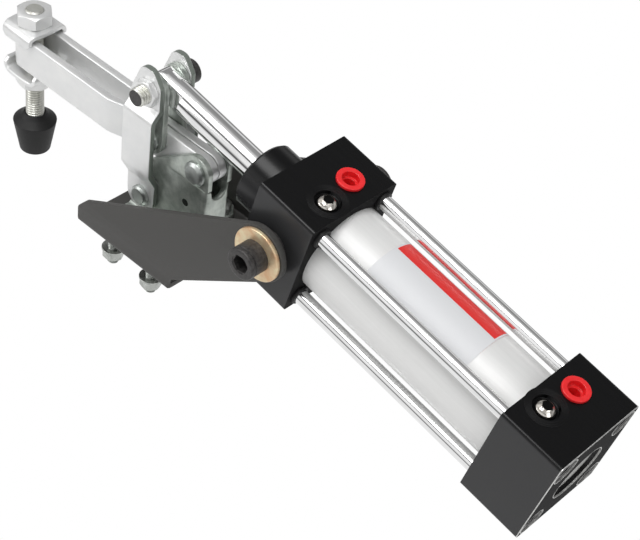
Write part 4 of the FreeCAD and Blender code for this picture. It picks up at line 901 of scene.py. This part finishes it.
for x in tongue_end - TONGUE_END_R * np.cos(np.linspace(0.05, np.pi / 2, 12)):
    height = math.sqrt(TONGUE_END_R ** 2 - (tongue_end - x) ** 2)
    rows.append((np.minimum(flats, height / np.maximum(np.abs(np.sin(round_y)), 1e-6)), x))
rows += [(flats, tongue_end + 0.5), (flats, tongue_end + TONGUE_LEN), (ROD_R, tongue_end + TONGUE_LEN),
         (ROD_R, -30), (ROD_R, PISTON_SEAT), (SPIGOT_R, PISTON_SEAT), (SPIGOT_R, SPIGOT_END), (0, SPIGOT_END)]
skin("piston_rod", [on_cylinder(lengthwise(rows, 192))], chrome, "piston_rod")
ring = [(TIE_R, 0.0), (3.9, 0.0), (4.0, 0.3), (4.0, 1.1), (3.8, 1.4), (TIE_R, 1.4), (TIE_R, 0.0)]
skin("tie_rod_rings", [on_cylinder(lengthwise(ring, 48), (HEAD_LEN, *at)) for at in tie_places], black_rubber,
     "tie_rod_rings")


# Port plugs: red polyethylene transit plugs, injection moulded and pushed into the ports, with a
# flange and a stepped blind hole.  The plastic is even and bright, with a soft waxy shine.
red_plastic, tree, shader = principled("moulded_red_polyethylene")
mottle(tree, shader, "#da1c20", "#e42428", 3.0, rough=(0.3, 0.42))
PORTS = (17.0, 129.0)
PORT_SIDE = 7.5
FLANGE_R = 5.5
PLUG_R = 4.45
section = [(0, -6.5), (2.4, -6.5), (2.4, -1.6), (3.4, -1.6), (3.4, 1.2), (FLANGE_R, 1.2), (FLANGE_R, 0.0),
           (PLUG_R, 0.0), (PLUG_R, -8.0), (0, -8.0)]
plug = soft_turned(section, [0, 0.2, 0.2, 0.2, 0.25, 0.35, 0.1, 0.1, 0.3, 0])
skin("port_plugs", [on_cylinder(plug, (x, PORT_SIDE, HALF)) for x in PORTS], red_plastic, "port_plugs")


# Cushion screws: turned stainless needle screws with a domed head and a hexagon socket, each in a
# counterbore whose cutter left rings in the black surface.  Fine turning keeps the domes bright.
stainless, tree, shader = principled("turned_stainless", Metallic=1.0)
mottle(tree, shader, "#beb8b0", "#dad6d0", 0.8, rough=(0.14, 0.26))
CUSHION_SIDE = -7.0
CUSHIONS = {"cushion_screw_front": (19.7, CUSHION_SIDE, HALF),
            "cushion_screw_rear": (127.3, CUSHION_SIDE, HALF)}
DOME_R = 3.75
SOCKET_HALF = 1.9
STEM_R = 2.5
angle = np.linspace(0, 2 * np.pi, 97)
socket = SOCKET_HALF / np.cos(angle % (np.pi / 3) - np.pi / 6)
dome = [(r, 1.2 - 1.7 * (r / DOME_R) ** 2.6) for r in np.linspace(2.35, 3.7, 10)]
screw = ([(0, -2.4), (socket, -1.4), (socket, 1.05)] + dome
         + [(DOME_R, -1.4), (STEM_R, -1.4), (STEM_R, -11.0), (0, -11.0)])
# So narrow a socket gives no light back, so a black fill stands in it.
shadow = turned([(0, 0.7), (socket - 0.02, 0.7), (socket - 0.02, -1.3), (0, -1.3)])
for node, at in CUSHIONS.items():
    skin(node, [on_cylinder(turned(screw), at)], stainless, node)
    skin(node + "_socket", [on_cylinder(shadow, at)], matt_black, on=node)

# The cutter's rings are cosine waves, 0.16 mm on the counterbore's floor and 0.05 mm on the face round it.
BORE_START = 3.9
BORE_WALL = 5.25
FACE_END = 8.2
radius = np.linspace(BORE_START, FACE_END, 44)
ripple = np.where(radius < BORE_WALL, -1.45 + 0.16 * np.cos(radius * 9), 0.03 + 0.05 * np.cos(radius * 7))
rings = turned([*zip(radius, ripple), (FACE_END, -0.02), (5.3, -0.04), (5.3, -1.62), (BORE_START, -1.62),
                (BORE_START, ripple[0])])
skin("cushion_pockets", [on_cylinder(rings, at) for at in CUSHIONS.values()], black_head, on="front_head")


# Inner pieces: the piston's nut, seals and cushion sleeves, the rod bush, the wear ring, the gaskets
# and the nuts in the rear pockets.  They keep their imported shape, with each one's own finish:
# porous brown bronze for the bush, dull brown filled PTFE for the wear ring.
dress(stainless, "cushion_sleeves", "piston_nut")
dress(black_oxide, "tie_rod_nuts")
dress(black_rubber, "barrel_gaskets", "rod_seal", "cushion_seals", "piston_seals")
dress(rivet_steel, "toggle_pin")
bronze, tree, shader = principled("sintered_bronze", Metallic=0.9)
mottle(tree, shader, "#8f6a3c", "#b28b5a", 0.6, rough=(0.35, 0.5))
dress(bronze, "rod_bush")
ptfe, tree, shader = principled("filled_ptfe", Roughness=0.5)
mottle(tree, shader, "#6a4c36", "#86664a", 0.6)
dress(ptfe, "wear_ring")
